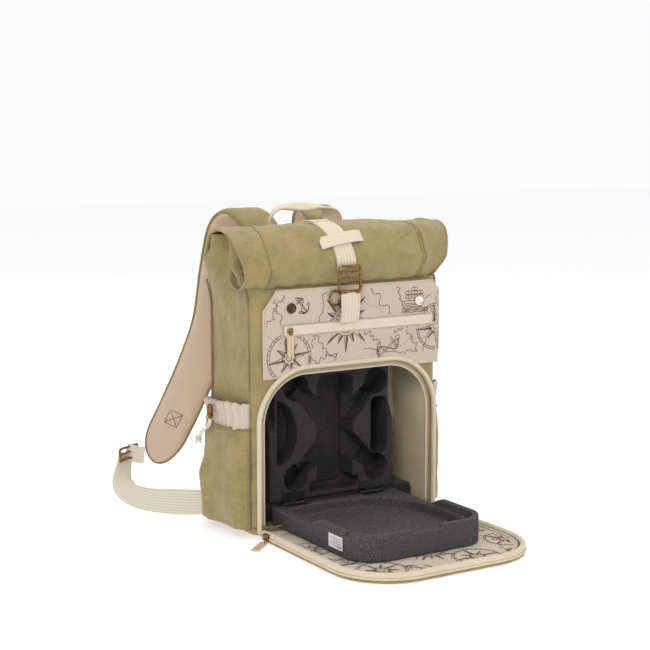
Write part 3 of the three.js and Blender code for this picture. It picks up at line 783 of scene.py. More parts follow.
def row_point(z, t):
    """A point of the row at height z; t runs once round it from the middle of the front, to the right."""
    half, front, back, r = body_row(z)
    depth = back - front
    r = min(r, depth * 0.45)
    w, d = half - r, depth - 2 * r
    arc = math.pi * r / 2
    total = 4 * w + 2 * d + 4 * arc
    s = (t % 1.0) * total
    tuck = smooth_step(BODY_HIGH[2] - 5 * MM, NECK_TOP, z)
    for kind, length in (("f", w), ("c0", arc), ("r", d), ("c1", arc), ("b", 2 * w), ("c2", arc), ("l", d),
                         ("c3", arc), ("f2", w)):
        if s <= length or kind == "f2":
            break
        s -= length
    if kind == "f":
        return s, front
    if kind == "f2":
        return -w + s, front
    if kind == "b":
        return w - s, back
    if kind in ("r", "l"):
        share = s / max(length, 1e-9)
        inward = tuck * 30 * MM * math.sin(math.pi * (1 - share) ** 0.8) ** 1.5
        if kind == "r":
            return half - inward, front + r + s
        return -half + inward, back - r - s
    angle = s / max(r, 1e-9)
    if kind == "c0":
        return w + r * math.sin(angle), front + r - r * math.cos(angle)
    if kind == "c1":
        return w + r * math.cos(angle), back - r + r * math.sin(angle)
    if kind == "c2":
        return -w - r * math.sin(angle), back - r + r * math.cos(angle)
    return -w - r * math.cos(angle), front + r - r * math.sin(angle)


def bag_canvas():
    """The bag's canvas: one lofted shell with its opening cut out, slack creases and top neck."""
    rows, columns = 130, 280
    heights = [NECK_TOP * (j / rows) ** 0.94 for j in range(rows + 1)]
    verts = []
    for z in heights:
        for i in range(columns):
            x, y = row_point(z, i / columns)
            side = smooth_step(HALF_WIDTH * 0.8, HALF_WIDTH, abs(x))
            crease = wobble(x * 0.6, y, z * 1.4, 70 * MM) * 3.4 + wobble(x, y, z, 26 * MM) * 1.3
            slack = wobble(x, y * 2, z * 0.7, 110 * MM)
            upper = smooth_step(165 * MM, 205 * MM, z)
            crease += side * upper * 3.4 * (0.5 - 2 * abs(wobble(x, y * 1.5 + z * 0.6, z * 0.6, 42 * MM)))
            crease += side * 1.7 * math.sin((z * 0.8 + y * 1.5) / (17 * MM) + 5 * slack) * (0.5 + slack)
            neck = smooth_step(SEAM_Z - 20 * MM, SEAM_Z + 30 * MM, z)
            crease += neck * side * 2.6 * math.sin(y / (9 * MM) + 4 * wobble(0, y, z, 40 * MM))
            ease = smooth_step(0, 26 * MM, z) * (0.3 if y < FRONT + 12 * MM and z < SEAM_Z else 1.0)
            push = crease * ease * MM * 0.8
            length = math.hypot(x / HALF_WIDTH, y / BACK) or 1
            nx, ny = (x / HALF_WIDTH) / length, (y / BACK) / length
            if abs(y - FRONT) < 3 * MM or abs(y - BACK) < 3 * MM:
                nx, ny = 0, math.copysign(1, y)
            elif abs(abs(x) - body_row(z)[0]) < 3 * MM:
                nx, ny = math.copysign(1, x), 0
            verts.append((x + nx * push, y + ny * push, z))
    faces = [(j * columns + i, j * columns + (i + 1) % columns, (j + 1) * columns + (i + 1) % columns,
              (j + 1) * columns + i) for j in range(rows) for i in range(columns)]
    faces.append(tuple(range(columns))[::-1])
    faces.append(tuple(rows * columns + i for i in range(columns)))
    shell = face_out(new_object("bag_canvas", verts, faces, CANVAS))
    arch = opening_arch(CANVAS_EDGE_OUT, ROOM_FLOOR)
    cut = prism("cut_arch", arch, FRONT - 20 * MM, FRONT + 12 * MM, CANVAS, axis="Y")
    boolean(shell, cut)
    wide, top, rear = LINING_HIGH[0] + 0.6 * MM, LINING_HIGH[2] + 0.6 * MM, LINING_HIGH[1] + 0.6 * MM
    room = rectangle(-wide, wide, ROOM_FLOOR, top)
    boolean(shell, prism("cut_room", room, FRONT + 8 * MM, rear, CANVAS, axis="Y"))
    return shell


def row_seam(name, t, low, high, radius, material=CANVAS):
    """A ridge or thread that climbs the bag's surface at a fixed share of the way round."""
    points = []
    for k in range(60):
        z = low + (high - low) * k / 59
        x, y = row_point(z, t)
        points.append((x, y, z))
    return tube(name, points, radius, material, 8, side=(0, 1, 0.01))


CORNER_SHARES = (0.186, 0.314, 0.686, 0.814)


def bag_seams():
    pieces = []
    for i, share in enumerate(CORNER_SHARES):
        pieces.append(row_seam(f"seam_{i}", share, 14 * MM, SEAM_Z + 26 * MM, 1.5 * MM, CANVAS_SEAM_SHADE))
    points = [(*row_point(13 * MM, i / 200), 13 * MM) for i in range(200)]
    pieces.append(tube("seam_base", points, 1.4 * MM, CANVAS_SEAM_SHADE, 8, closed=True, side=(0, 0, 1)))
    return joined("bag_seams", pieces)


# ------------------------------------------------------------------ the rolled-down top
# The rolled sheet's side view, from the back over the top and round inward: (forward, up) from the roll's
# centre in shares of its radii.
ROLL_PROFILE = [(-2.30, -0.20), (-2.22, 0.06), (-2.03, 0.40), (-1.78, 0.70), (-1.30, 0.90), (-0.68, 0.97),
                (0.0, 0.98),
                (0.62, 0.80),
                (0.94, 0.28), (0.96, -0.28), (0.72, -0.76), (0.22, -0.98), (-0.32, -0.90), (-0.68, -0.52),
                (-0.78, 0.0), (-0.58, 0.46), (-0.08, 0.70), (0.42, 0.56), (0.68, 0.14), (0.62, -0.34),
                (0.28, -0.66),
                (-0.16, -0.58), (-0.44, -0.22), (-0.36, 0.18), (0.0, 0.38), (0.32, 0.20), (0.34, -0.14),
                (0.08, -0.32)]
ROLL_LINE = spline([(ROLL_Y - a * ROLL_RY, ROLL_Z + b * ROLL_RZ) for a, b in ROLL_PROFILE], 400)
FULL_TURN = 0.43
# Grooves along the roll's seams: place across, slant, width and depth in mm.
ROLL_GROOVES = ((108 * MM, 0.10, 6 * MM, 2.6), (-118 * MM, -0.05, 5 * MM, 2.0))


def roll_point(u, v, lift=0.0):
    """A point of the rolled sheet: u across it, v from its outer to its inner end."""
    k = min(398, int(v * 399))
    y, z = ROLL_LINE[k] + (ROLL_LINE[k + 1] - ROLL_LINE[k]) * (v * 399 - k)
    dy, dz = ROLL_LINE[k + 1] - ROLL_LINE[k]
    length = math.hypot(dy, dz)
    forward = min(1.0, max(0.0, (ROLL_Y + ROLL_RY - y) / (2 * ROLL_RY)))
    inner = smooth_step(FULL_TURN - 0.05, 1.0, v)
    neck = smooth_step(0.22, 0.0, v)
    lip = math.exp(-((v - 0.36) / 0.07) ** 2)
    left = ROLL_LOW[0] + 14 * MM * neck + 9 * MM * (1 - forward) + 58 * MM * inner + 13 * MM * lip
    right = ROLL_HIGH[0] - 20 * MM * neck - 13 * MM * forward - 44 * MM * inner - 6 * MM * lip
    low = smooth_step(ROLL_Z, ROLL_LOW[2], z) if v < FULL_TURN + 0.08 else 0.0
    right -= 18 * MM * low
    left += 10 * MM * smooth_step(0.30, 0.46, v) * (1 - inner)
    x = left + (right - left) * u
    ends = abs(2 * u - 1)
    swell = 1.2 * math.sin(x / (37 * MM) + 9 * v) + 2.4 * wobble(x, v * 0.34, 0.1, 58 * MM) \
        + 2.1 * wobble(x * 1.3 + v * 0.05, v * 0.4, 0.7, 23 * MM) \
        + 0.9 * wobble(x * 1.6 + v * 0.1, v * 0.7, 2.1, 13 * MM)
    swell += 2.4 * (0.4 - 1.8 * abs(wobble(x * 1.1 + v * 0.06, v * 0.45, 4.2, 36 * MM)))
    for at, slant, width, depth in ROLL_GROOVES:
        swell -= depth * math.exp(-((x - at - slant * (v - 0.2)) / width) ** 2)
    droop = -6.0 * ends ** 5 * (0.35 + 0.65 * smooth_step(0.1, 0.3, v))
    push = lift + (swell * 0.8 + droop) * MM * (0.35 + 0.65 * smooth_step(0.0, 0.1, v))
    return x, y + dz / length * push, z - dy / length * push


def roll_canvas():
    sheet = grid("roll_canvas", roll_point, 150, 260, CANVAS)
    sheet.data.uv_layers.new(name="UVMap")
    solidify(sheet, 1.8 * MM, 0.0)
    return face_out(sheet)


def roll_line(name, share, start, stop, radius, material, slant=0.0):
    points = []
    for k in range(90):
        v = start + (stop - start) * k / 89
        points.append(roll_point(share + slant * (k / 89 - 0.5), v, 1.0 * MM))
    return tube(name, points, radius, material, 8, side=(1, 0.02, 0.03))


def roll_seams():
    return joined("roll_seams", [
        roll_line("roll_hem_left", 0.0, 0.0, 0.98, 1.5 * MM, CANVAS),
        roll_line("roll_hem_right", 1.0, 0.0, 0.98, 1.5 * MM, CANVAS),
        roll_line("roll_seam_right", 0.84, 0.02, FULL_TURN, 1.3 * MM, CANVAS_SEAM_SHADE, 0.16),
        roll_line("roll_seam_left", 0.13, 0.02, FULL_TURN, 1.0 * MM, CANVAS_SEAM_SHADE, -0.06),
        roll_line("roll_stitch_right", 0.825, 0.02, FULL_TURN, 0.4 * MM, STITCH_OLIVE, 0.16),
    ])


# ------------------------------------------------------------------ piping and binding round the opening
def opening_binding():
    """A rounded cloth binding round the opening, just outside the zipper tape and coil."""
    y = (PIPING_LOW[1] + PIPING_HIGH[1]) / 2
    path = opening_arch(BINDING_OUT, OPENING_BOTTOM)
    points = spline([(x, y, z) for x, z in path], 150)
    points[:, 1] += [0.5 * MM * wobble(p[0], p[1], p[2], 30 * MM) for p in points]
    return tube("opening_binding", points, 3.5 * MM, BINDING, 12, squash=0.85, side=(0, 1, 0))


def opening_zipper():
    """The zip's tape and coil just inside the opening."""
    y = FRONT + 3 * MM
    path = opening_arch(TAPE_OUT, ZIP_FOOT)
    points = spline([(x, y, z) for x, z in path], 130)
    sides = [np.array([p[0] / 0.1, 0.25, (p[2] - OPENING_TOP / 2) / 0.1]) for p in points]
    tape = loft("opening_tape", points, sides, flat_section(6 * MM, 1.0 * MM, 4), WELT)
    inner = opening_arch(COIL_OUT, ZIP_FOOT)
    line = spline([(x, y - 0.6 * MM, z) for x, z in inner], 130)
    coil = tube("opening_coil", line, 1.2 * MM, ZIP_COIL, 8, side=(0, 1, 0))
    return joined("opening_zip_tape", [tape, coil])


# ------------------------------------------------------------------ compartment lining
def inner_lining():
    """Beige cloth on the compartment's sides, back and top, loose and folded."""
    low, high = LINING_LOW, LINING_HIGH
    front, back = low[1] + 1 * MM, high[1] - 1.6 * MM
    half = high[0] - 0.8 * MM
    run = back - front
    total = 2 * run + 2 * half

    def point(u, v):
        s = u * total
        z = low[2] + 1 * MM + (high[2] - low[2] - 3 * MM) * v
        fold = 2.4 * math.sin(z / (19 * MM) + 2 * wobble(s, z, 0, 60 * MM))
        fold *= 0.5 + 0.5 * wobble(z, s, 1, 40 * MM)
        fold += 2.0 * wobble(s, z * 0.7, 3, 24 * MM)
        loose = (2.6 + fold) * MM * 0.8 * math.sin(math.pi * min(1, max(0, v))) ** 0.5
        loose = max(0.1 * MM, loose)
        if s < run:
            return -half + loose * min(1, s / (8 * MM)), front + s, z
        if s < run + 2 * half:
            return -half + (s - run), back - min(loose, 1.4 * MM), z
        return half - loose * min(1, (total - s) / (8 * MM)), back - (s - run - 2 * half), z

    wall = grid("lining_walls", point, 150, 90, INNER)

    def ceiling(u, v):
        z = high[2] - 2 * MM - 1.2 * MM * (1 + wobble(u, v, 2, 0.2))
        return -half + 2 * half * u, front + run * v, z

    roof = grid("lining_roof", ceiling, 40, 12, INNER)
    piece = joined("inner_lining", [wall, roof])
    return solidify(piece, 0.7 * MM, 0.0)


def floor_pad():
    """The padded floor under the case."""
    low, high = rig.box("base_pad")
    outline = rectangle(low[0], high[0], low[1], high[1])
    pad = prism("floor_pad", outline, low[2], high[2] - 0.5 * MM, PAD_DARK)
    remeshed(pad, 3.5 * MM, 8)
    return displaced(pad, lambda p, n: n * (0.6 * MM * wobble(*p, 26 * MM)))


# ------------------------------------------------------------------ printed cloth
def ribbon_on(surface, points, width):
    """Verts and faces of a thin inked line on a surface: points are (a, b) places on it."""
    p = np.array(points, float)
    t = np.gradient(p, axis=0)
    t /= np.maximum(np.linalg.norm(t, axis=1), 1e-9)[:, None]
    n = np.column_stack([-t[:, 1], t[:, 0]]) * width / 2
    verts = [surface(*q) for pair in zip(p - n, p + n) for q in pair]
    faces = [(2 * i, 2 * i + 1, 2 * i + 3, 2 * i + 2) for i in range(len(p) - 1)]
    return verts, faces


def segment(a, b, count=6):
    return [(a[0] + (b[0] - a[0]) * k / count, a[1] + (b[1] - a[1]) * k / count) for k in range(count + 1)]


def ring(cx, cy, r, start=0.0, stop=TAU, count=48):
    return [polar(cx, cy, r, start + (stop - start) * k / count) for k in range(count + 1)]


def compass_rose(cx, cy, r, turn=0.0):
    """A drawn compass rose: rings, tick marks and eight points, half of each filled with lines."""
    strokes = [ring(cx, cy, r), ring(cx, cy, r * 0.9), ring(cx, cy, r * 0.3), ring(cx, cy, r * 0.12)]
    for k in range(32):
        a = turn + TAU * k / 32
        strokes.append(segment(polar(cx, cy, r * 0.9, a), polar(cx, cy, r, a), 2))
    for k in range(8):
        a = turn + TAU * k / 8
        reach = r * (0.98 if k % 2 == 0 else 0.66)
        tip = polar(cx, cy, reach, a)
        for side in (-1, 1):
            b = a + side * TAU / 16
            foot = polar(cx, cy, r * 0.24, b)
            strokes.append(segment(tip, foot, 4))
        for shade in range(1, 9):
            b = a + TAU / 16 * shade / 9
            far = polar(cx, cy, reach * (1 - 0.09 * shade), a + 0.012 * shade)
            strokes.append(segment(polar(cx, cy, r * 0.22, b), far, 3))
    return strokes


def sun_rose(cx, cy, r):
    """A compass drawn as a sun with long and wavy rays."""
    strokes = [ring(cx, cy, r * 0.46), ring(cx, cy, r * 0.38), ring(cx, cy, r * 0.16)]
    for k in range(16):
        a = TAU * k / 16
        reach = r if k % 2 == 0 else r * 0.74
        tip = polar(cx, cy, reach, a)
        for side in (-1, 1):
            b = a + side * TAU / 40
            foot = polar(cx, cy, r * 0.47, b)
            strokes.append(segment(foot, tip, 4))
        for shade in range(3):
            b = a + TAU / 40 * shade / 3
            strokes.append(segment(polar(cx, cy, r * 0.48, b), tip, 3))
        inner = a + TAU / 32
        strokes.append(segment(polar(cx, cy, r * 0.17, inner), polar(cx, cy, r * 0.37, inner), 3))
    return strokes


def anchor_mark(cx, cy, size, turn):
    """An anchor with a curl of rope."""
    c, s = math.cos(turn), math.sin(turn)

    def place_at(points):
        return [(cx + size * (x * c - y * s), cy + size * (x * s + y * c)) for x, y in points]

    strokes = [segment((0.03, -0.42), (0.03, 0.36)), segment((-0.03, -0.42), (-0.03, 0.36)),
               segment((-0.2, 0.27), (0.2, 0.27)), segment((-0.2, 0.22), (0.2, 0.22)),
               ring(0, 0.44, 0.08), ring(0, -0.1, 0.34, math.pi * 1.1, math.pi * 1.9, 20),
               ring(0, -0.14, 0.34, math.pi * 1.12, math.pi * 1.88, 20),
               segment((-0.34, -0.12), (-0.38, -0.3)), segment((-0.34, -0.12), (-0.22, -0.24)),
               segment((0.34, -0.12), (0.38, -0.3)), segment((0.34, -0.12), (0.22, -0.24)),
               [(0.22 * math.sin(k / 4), 0.44 - 0.9 * k / 24) for k in range(25)],
               [(0.22 * math.sin(k / 4) + 0.03, 0.45 - 0.9 * k / 24) for k in range(25)]]
    return [place_at(p) for p in strokes]


def ship_mark(cx, cy, size):
    """A small three-masted ship on a few waves."""
    hull = [(-0.5, -0.1), (-0.4, -0.32), (0.3, -0.34), (0.52, -0.02), (0.2, -0.08), (-0.3, -0.1),
            (-0.5, -0.1)]
    strokes = [hull, segment((-0.42, -0.2), (0.4, -0.2)), segment((-0.4, -0.26), (0.36, -0.26))]
    for x, top in ((-0.28, 0.3), (0.0, 0.45), (0.26, 0.28)):
        strokes.append(segment((x, -0.1), (x, top)))
        for level in (0.0, 0.14, 0.28):
            if level + 0.1 > top:
                continue
            strokes.append([(x - 0.12, level), (x - 0.15, level + 0.06), (x - 0.1, level + 0.12),
                            (x + 0.1, level + 0.12),
                            (x + 0.13, level + 0.06), (x + 0.11, level), (x - 0.12, level)])
    for k in range(4):
        level = -0.38 - 0.05 * k
        strokes.append([(-0.6 + 0.1 * i, level + 0.02 * math.sin(i * 1.7 + k)) for i in range(13)])
    strokes.append(segment((0.5, -0.05), (0.7, 0.1)))
    return [[(cx + size * x, cy + size * y) for x, y in p] for p in strokes]


def coast(x0, y0, x1, y1, seed, roughness=5 * MM):
    """A ragged coast line from one point to another."""
    points = []
    for k in range(60):
        t = k / 59
        x, y = x0 + (x1 - x0) * t, y0 + (y1 - y0) * t
        shift = roughness * noise.noise(Vector((t * 5, seed, 0)))
        shift += roughness * 0.4 * noise.noise(Vector((t * 21, seed, 4)))
        length = math.hypot(x1 - x0, y1 - y0)
        points.append((x - (y1 - y0) / length * shift * 2, y + (x1 - x0) / length * shift * 2))
    return points


def dashed(points, every=3):
    return [points[k:k + 2] for k in range(0, len(points) - 1, every)]


def printed(name, surface, strokes, inside, width=0.78 * MM):
    """Ink lines on a surface; a line is left out where inside(a, b) is false."""
    verts, faces = [], []
    for stroke in strokes:
        run = []
        for p in list(stroke) + [None]:
            if p is not None and inside(*p):
                run.append(p)
                continue
            if len(run) > 1:
                v, f = ribbon_on(surface, run, width)
                faces += [tuple(i + len(verts) for i in face) for face in f]
                verts += v
            run = []
    return new_object(name, verts, faces, PRINT, smooth=False)


# ------------------------------------------------------------------ front panel with its pocket
PANEL_CHAMFER = 24 * MM
GATHER_Z = 214 * MM
HEM_IN = 3.5 * MM
ARCH_OUT = OPENING_HALF + 7.3 * MM
ARCH_TOP = OPENING_TOP + 7.3 * MM
ARCH_CORNER = OPENING_CORNER + 7 * MM


def in_arch(x, z):
    """Whether (x, z) is inside the arch that the binding covers."""
    if abs(x) > ARCH_OUT or z > ARCH_TOP:
        return False
    dx, dz = abs(x) - (ARCH_OUT - ARCH_CORNER), z - (ARCH_TOP - ARCH_CORNER)
    return not (dx > 0 and dz > 0 and math.hypot(dx, dz) > ARCH_CORNER)


def panel_ripple(x, z):
    """How far the panel's face stands out from its back plane, in metres."""
    base = 2.4 * MM + 0.7 * MM * wobble(x, z, 0, 45 * MM)
    gather = math.exp(-((z - GATHER_Z) / (12 * MM)) ** 2)
    return base + gather * 0.5 * MM * math.sin(x / (5.2 * MM) + 4 * wobble(x, 0, 0, 60 * MM))


def on_panel(x, z, lift=0.12 * MM):
    return x, PANEL_HIGH[1] - panel_ripple(x, z) - lift, z


def panel_outline():
    left, right = PANEL_LOW[0], PANEL_HIGH[0]
    bottom, top = PANEL_LOW[2], PANEL_HIGH[2]
    return [(left, bottom), (right, bottom), (right, top - PANEL_CHAMFER * 0.5),
            (right - PANEL_CHAMFER * 0.5, top),
            (left + PANEL_CHAMFER * 0.8, top), (left, top - PANEL_CHAMFER)]


def in_panel(x, z):
    left, right, top = PANEL_LOW[0] + 2 * MM, PANEL_HIGH[0] - 2 * MM, PANEL_HIGH[2] - 2 * MM
    if not (left < x < right and PANEL_LOW[2] < z < top) or in_arch(x, z):
        return False
    under_cut = (x - left) / (PANEL_CHAMFER * 0.8) + (z - (top - PANEL_CHAMFER)) / PANEL_CHAMFER < 1
    return under_cut or x > left + 20 * MM or z < top - PANEL_CHAMFER + (x - left) * 1.25


def front_panel_cloth():
    slab = prism("front_panel_cloth", panel_outline(), PANEL_HIGH[1] - 2.4 * MM, PANEL_HIGH[1], LINING,
                 axis="Y")
    cutter = arch_path(ARCH_OUT, PANEL_LOW[2] - 60 * MM, ARCH_TOP, ARCH_CORNER)
    boolean(slab, prism("cut_panel", cutter, PANEL_HIGH[1] - 10 * MM, PANEL_HIGH[1] + 10 * MM, LINING,
                        axis="Y"))
    remeshed(slab, 1.1 * MM, 1)
    face = PANEL_HIGH[1] - 1.2 * MM

    def move(p, n):
        if p.y > face:
            return Vector((0, 0, 0))
        return Vector((0, PANEL_HIGH[1] - panel_ripple(p.x, p.z) - (PANEL_HIGH[1] - 2.4 * MM), 0))

    return displaced(slab, move)


def panel_stitching():
    outline = panel_outline()
    x0, x1, top = PANEL_LOW[0] + HEM_IN, PANEL_HIGH[0] - HEM_IN, PANEL_HIGH[2] - HEM_IN
    route = segment((x0, 0.212), (x0, outline[5][1] - 1 * MM), 24) \
        + segment((x0, outline[5][1] - 1 * MM), (outline[4][0] + 1 * MM, top), 8)[1:] \
        + segment((outline[4][0] + 1 * MM, top), (outline[3][0] - 1 * MM, top), 60)[1:] \
        + segment((outline[3][0] - 1 * MM, top), (x1, outline[2][1] - 1 * MM), 5)[1:] \
        + segment((x1, outline[2][1] - 1 * MM), (x1, 0.215), 20)[1:]
    points = [on_panel(x, z, 0.1 * MM) for x, z in route]
    edge = [(x + (x - 0.006) * 0.022, y + 0.4 * MM, z + (0.0026 if z > 0.3 else 0.0)) for x, y, z in points]
    hem = tube("panel_hem", edge, 1.3 * MM, LINING, 8, side=(0, 1, 0))
    return joined("panel_stitching",
                  [tube("panel_thread", points, 0.35 * MM, STITCH, 6, side=(0, 1, 0)), hem])


def panel_print():
    strokes = compass_rose(-88 * MM, 222 * MM, 31 * MM, 0.2)
    strokes += sun_rose(-6 * MM, 262 * MM, 40 * MM)
    strokes += anchor_mark(58 * MM, 224 * MM, 40 * MM, -0.9)
    strokes += compass_rose(131 * MM, 245 * MM, 30 * MM, 0.1)
    strokes += ship_mark(98 * MM, 284 * MM, 34 * MM)
    strokes += anchor_mark(-70 * MM, 286 * MM, 24 * MM, 0.7)
    for k, (x0, y0, x1, y1) in enumerate([(-60, 214, -20, 222), (-56, 232, -34, 300), (30, 300, 66, 262),
                                          (20, 224, 100, 214), (66, 240, 100, 262), (-120, 262, -96, 300),
                                          (112, 214, 134, 290), (-52, 246, -22, 214), (-112, 300, -96, 262),
                                          (70, 300, 84, 266), (20, 246, 44, 232), (86, 244, 104, 214)]):
        strokes.append(coast(x0 * MM, y0 * MM, x1 * MM, y1 * MM, 7 * k))
    for k, (x0, y0, x1, y1) in enumerate([(-118, 250, -50, 212), (-30, 302, 60, 268), (30, 216, 120, 236),
                                          (-60, 262, 90, 246)]):
        strokes += dashed(coast(x0 * MM, y0 * MM, x1 * MM, y1 * MM, 50 + k, 3 * MM))
    zip_low, zip_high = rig.box("pocket_zipper")
    clear = 1.5 * MM

    def inside(x, z):
        beside = zip_low[0] - clear < x < zip_high[0] + clear
        level = zip_low[2] - clear < z < zip_high[2] + clear
        return in_panel(x, z) and not (beside and level)

    return printed("panel_print", on_panel, strokes, inside)


def pocket_zip():
    """The front pocket's zip: its tape, its teeth and the two welts beside it."""
    low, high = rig.box("pocket_zipper")
    middle = (low[2] + high[2]) / 2

    def point(u, v):
        y = high[1] - 0.7 * MM - 0.5 * MM * math.sin(math.pi * v)
        return low[0] + (high[0] - low[0]) * u, y, low[2] + (high[2] - low[2]) * v

    tape = solidify(grid("zip_tape_cloth", point, 60, 8, ZIP_TAPE), 0.8 * MM, 1.0)
    teeth = []
    count = int((high[0] - low[0]) / (2.2 * MM))
    for k in range(count):
        x = low[0] + 2 * MM + k * 2.2 * MM
        tooth = rectangle(x, x + 1.3 * MM, middle - 1.6 * MM, middle + 1.6 * MM)
        teeth.append(prism(f"tooth_{k}", tooth, low[1] - 0.2 * MM, low[1] + 0.7 * MM, ZIP_COIL, axis="Y"))
    bars = []
    for z in (low[2] + 0.6 * MM, high[2] - 0.6 * MM):
        line = [(low[0] + (high[0] - low[0]) * k / 30, low[1] + 0.5 * MM, z) for k in range(31)]
        bars.append(tube(f"bar_{z:.3f}", line, 0.7 * MM, LINING, 6, side=(0, 1, 0)))
    tape, teeth = joined("pocket_zip_tape", [tape]), joined("pocket_zip_teeth", teeth)
    return tape, teeth, joined("pocket_zip_welt", bars)


def zip_slider():
    low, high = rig.box("pocket_zip_slider")
    middle = [(a + b) / 2 for a, b in zip(low, high)]
    narrow, wide, shoulder = 2.4 * MM, 3.6 * MM, high[0] - 1 * MM
    outline = [(low[0], middle[2] - narrow), (shoulder, middle[2] - wide), (high[0], middle[2]),
               (shoulder, middle[2] + wide), (low[0], middle[2] + narrow)]
    body = prism("slider_body", outline, low[1] + 0.6 * MM, high[1], BRASS, axis="Y")
    bevelled(body, 0.5 * MM)
    wire = ring_points((middle[0], low[1] + 0.6 * MM, middle[2] - 3 * MM), 2.2 * MM)
    loop = tube("slider_loop", wire, 0.6 * MM, BRASS, 8, closed=True, side=(0, 1, 0))
    return joined("zip_slider_brass", [body, loop])


def ring_points(centre, radius, count=28, stretch=1.0):
    """Points of an upright ring that faces along Y."""
    x, y, z = centre
    turns = [TAU * k / count for k in range(count)]
    return [(x + radius * math.cos(a), y, z + radius * math.sin(a) * stretch) for a in turns]


def rounded_outline(x0, x1, y0, y1, r, steps=6):
    points = []
    corners = ((x1 - r, y0 + r, -0.25), (x1 - r, y1 - r, 0.0), (x0 + r, y1 - r, 0.25),
               (x0 + r, y0 + r, 0.5))
    for cx, cy, start in corners:
        points += [polar(cx, cy, r, TAU * (start + 0.25 * k / steps)) for k in range(steps + 1)]
    return points


def zip_tab():
    low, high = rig.box("pocket_zip_pull")
    outline = rounded_outline(low[0], high[0], low[2], high[2], 1.8 * MM)
    tab = prism("zip_tab_leather", outline, low[1], high[1], LEATHER, axis="Y")
    bevelled(tab, 0.4 * MM)
    x0, x1 = low[0] + 1.6 * MM, high[0] - 1.6 * MM
    thread = [(x0, low[1] - 0.05 * MM,
               low[2] + 2 * MM + (high[2] - low[2] - 4 * MM) * k / 16) for k in range(17)]
    other = [(x1, y, z) for _, y, z in thread]
    seams = [tube(f"tab_thread_{i}", p, 0.3 * MM, STITCH, 6, side=(0, 1, 0)) for i,
             p in enumerate((thread, other))]
    return joined("zip_tab_leather", [tab, *seams])


def snap_cap(name, node, material):
    """A turned snap cap: domed rim, sunk ring and centre boss."""
    low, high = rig.box(node)
    cx, cz, r = (low[0] + high[0]) / 2, (low[2] + high[2]) / 2, (high[0] - low[0]) / 2
    depth = high[1] - low[1]
    profile = [(0, 0.9), (0.16, 0.92), (0.24, 0.7), (0.34, 0.6), (0.5, 0.55), (0.62, 0.72), (0.74, 0.95),
               (0.86, 0.9),
               (0.97, 0.6), (1.0, 0.2), (1.0, 0.0)]
    shares = np.linspace(0, 1, len(profile))
    radii, heights = zip(*profile)

    def point(u, v):
        x, z = polar(cx, cz, r * np.interp(v, shares, radii), TAU * u)
        return x, high[1] - depth * np.interp(v, shares, heights), z

    return face_out(grid(name, point, 48, 40, material, closed_u=True))


# ------------------------------------------------------------------ webbing, handle and buckle
CLOSURE_WIDE = 26 * MM
HANDLE_WIDE = 25 * MM
TAIL_WIDE = 31 * MM
LINK_WIDE = 24 * MM
KEEPER_WIDE = 15 * MM
BUCKLE_ROD = 1.6 * MM


def webbing_band(name, points, sides, width, thick, material, count=90, scale=None):
    p = spline(np.array(points) * MM, count)
    s = spline(np.array(sides, float), count)
    return loft(name, p, s, flat_section(width, thick), material, scale=scale)


def edge_threads(name, points, sides, width, lift, material, count=90, inset=2.2 * MM, radius=0.35 * MM):
    """Two stitched lines near a band's edges, standing on its outer face."""
    p = spline(np.array(points) * MM, count)
    s = spline(np.array(sides, float), count)
    s, n = squared(s, directions(p))
    out = []
    for sign in (-1, 1):
        line = p + s * sign * (width / 2 - inset) + n * lift
        out.append(loft(f"{name}_{sign}", line, s, round_section(radius, 6), material))
    return out


def above_roll(x, degrees, lift):
    """A point in millimetres round the roll's axis, lift above its surface; 0 degrees is the front."""
    angle = math.radians(degrees)
    return (x, ROLL_Y / MM - math.cos(angle) * (ROLL_RY / MM + lift),
            ROLL_Z / MM + math.sin(angle) * (ROLL_RZ / MM + lift))


def strap_over_roll():
    """The closure strap's route over the roll, in millimetres, with its folded end at the back."""
    low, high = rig.box("closure_strap_upper")
    start_x, stop_x = (low[0] + 13 * MM) / MM, (high[0] - 13 * MM) / MM
    points = []
    for i in range(13):
        x = start_x + (stop_x - start_x) * i / 12
        points.append(above_roll(x, 114 - 130 * i / 12, 2.6))
    return points


def closure_strap():
    points = strap_over_roll()
    sides = [(1, 0, 0)] * len(points)
    band = webbing_band("closure_webbing", points, sides, CLOSURE_WIDE, 2 * MM, WEBBING, 110)
    folded = [(x, y, z + 1.6) for x, y, z in points[:4]]
    fold = webbing_band("closure_fold", folded, sides[:4], CLOSURE_WIDE + 1 * MM, 2.2 * MM, WEBBING, 24)
    return joined("closure_strap_webbing", [band, fold])


def keeper_band():
    low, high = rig.box("strap_keeper")
    points = []
    for i in range(9):
        t = i / 8
        lift = 1.2 + 4.0 * math.sin(math.pi * t) ** 0.5
        points.append(above_roll((low[0] + (high[0] - low[0]) * t) / MM, 27 + 12 * t, lift))
    return webbing_band("keeper_webbing", points, [(0, 0.54, 0.84)] * 9, KEEPER_WIDE, 1.7 * MM, WEBBING, 60)


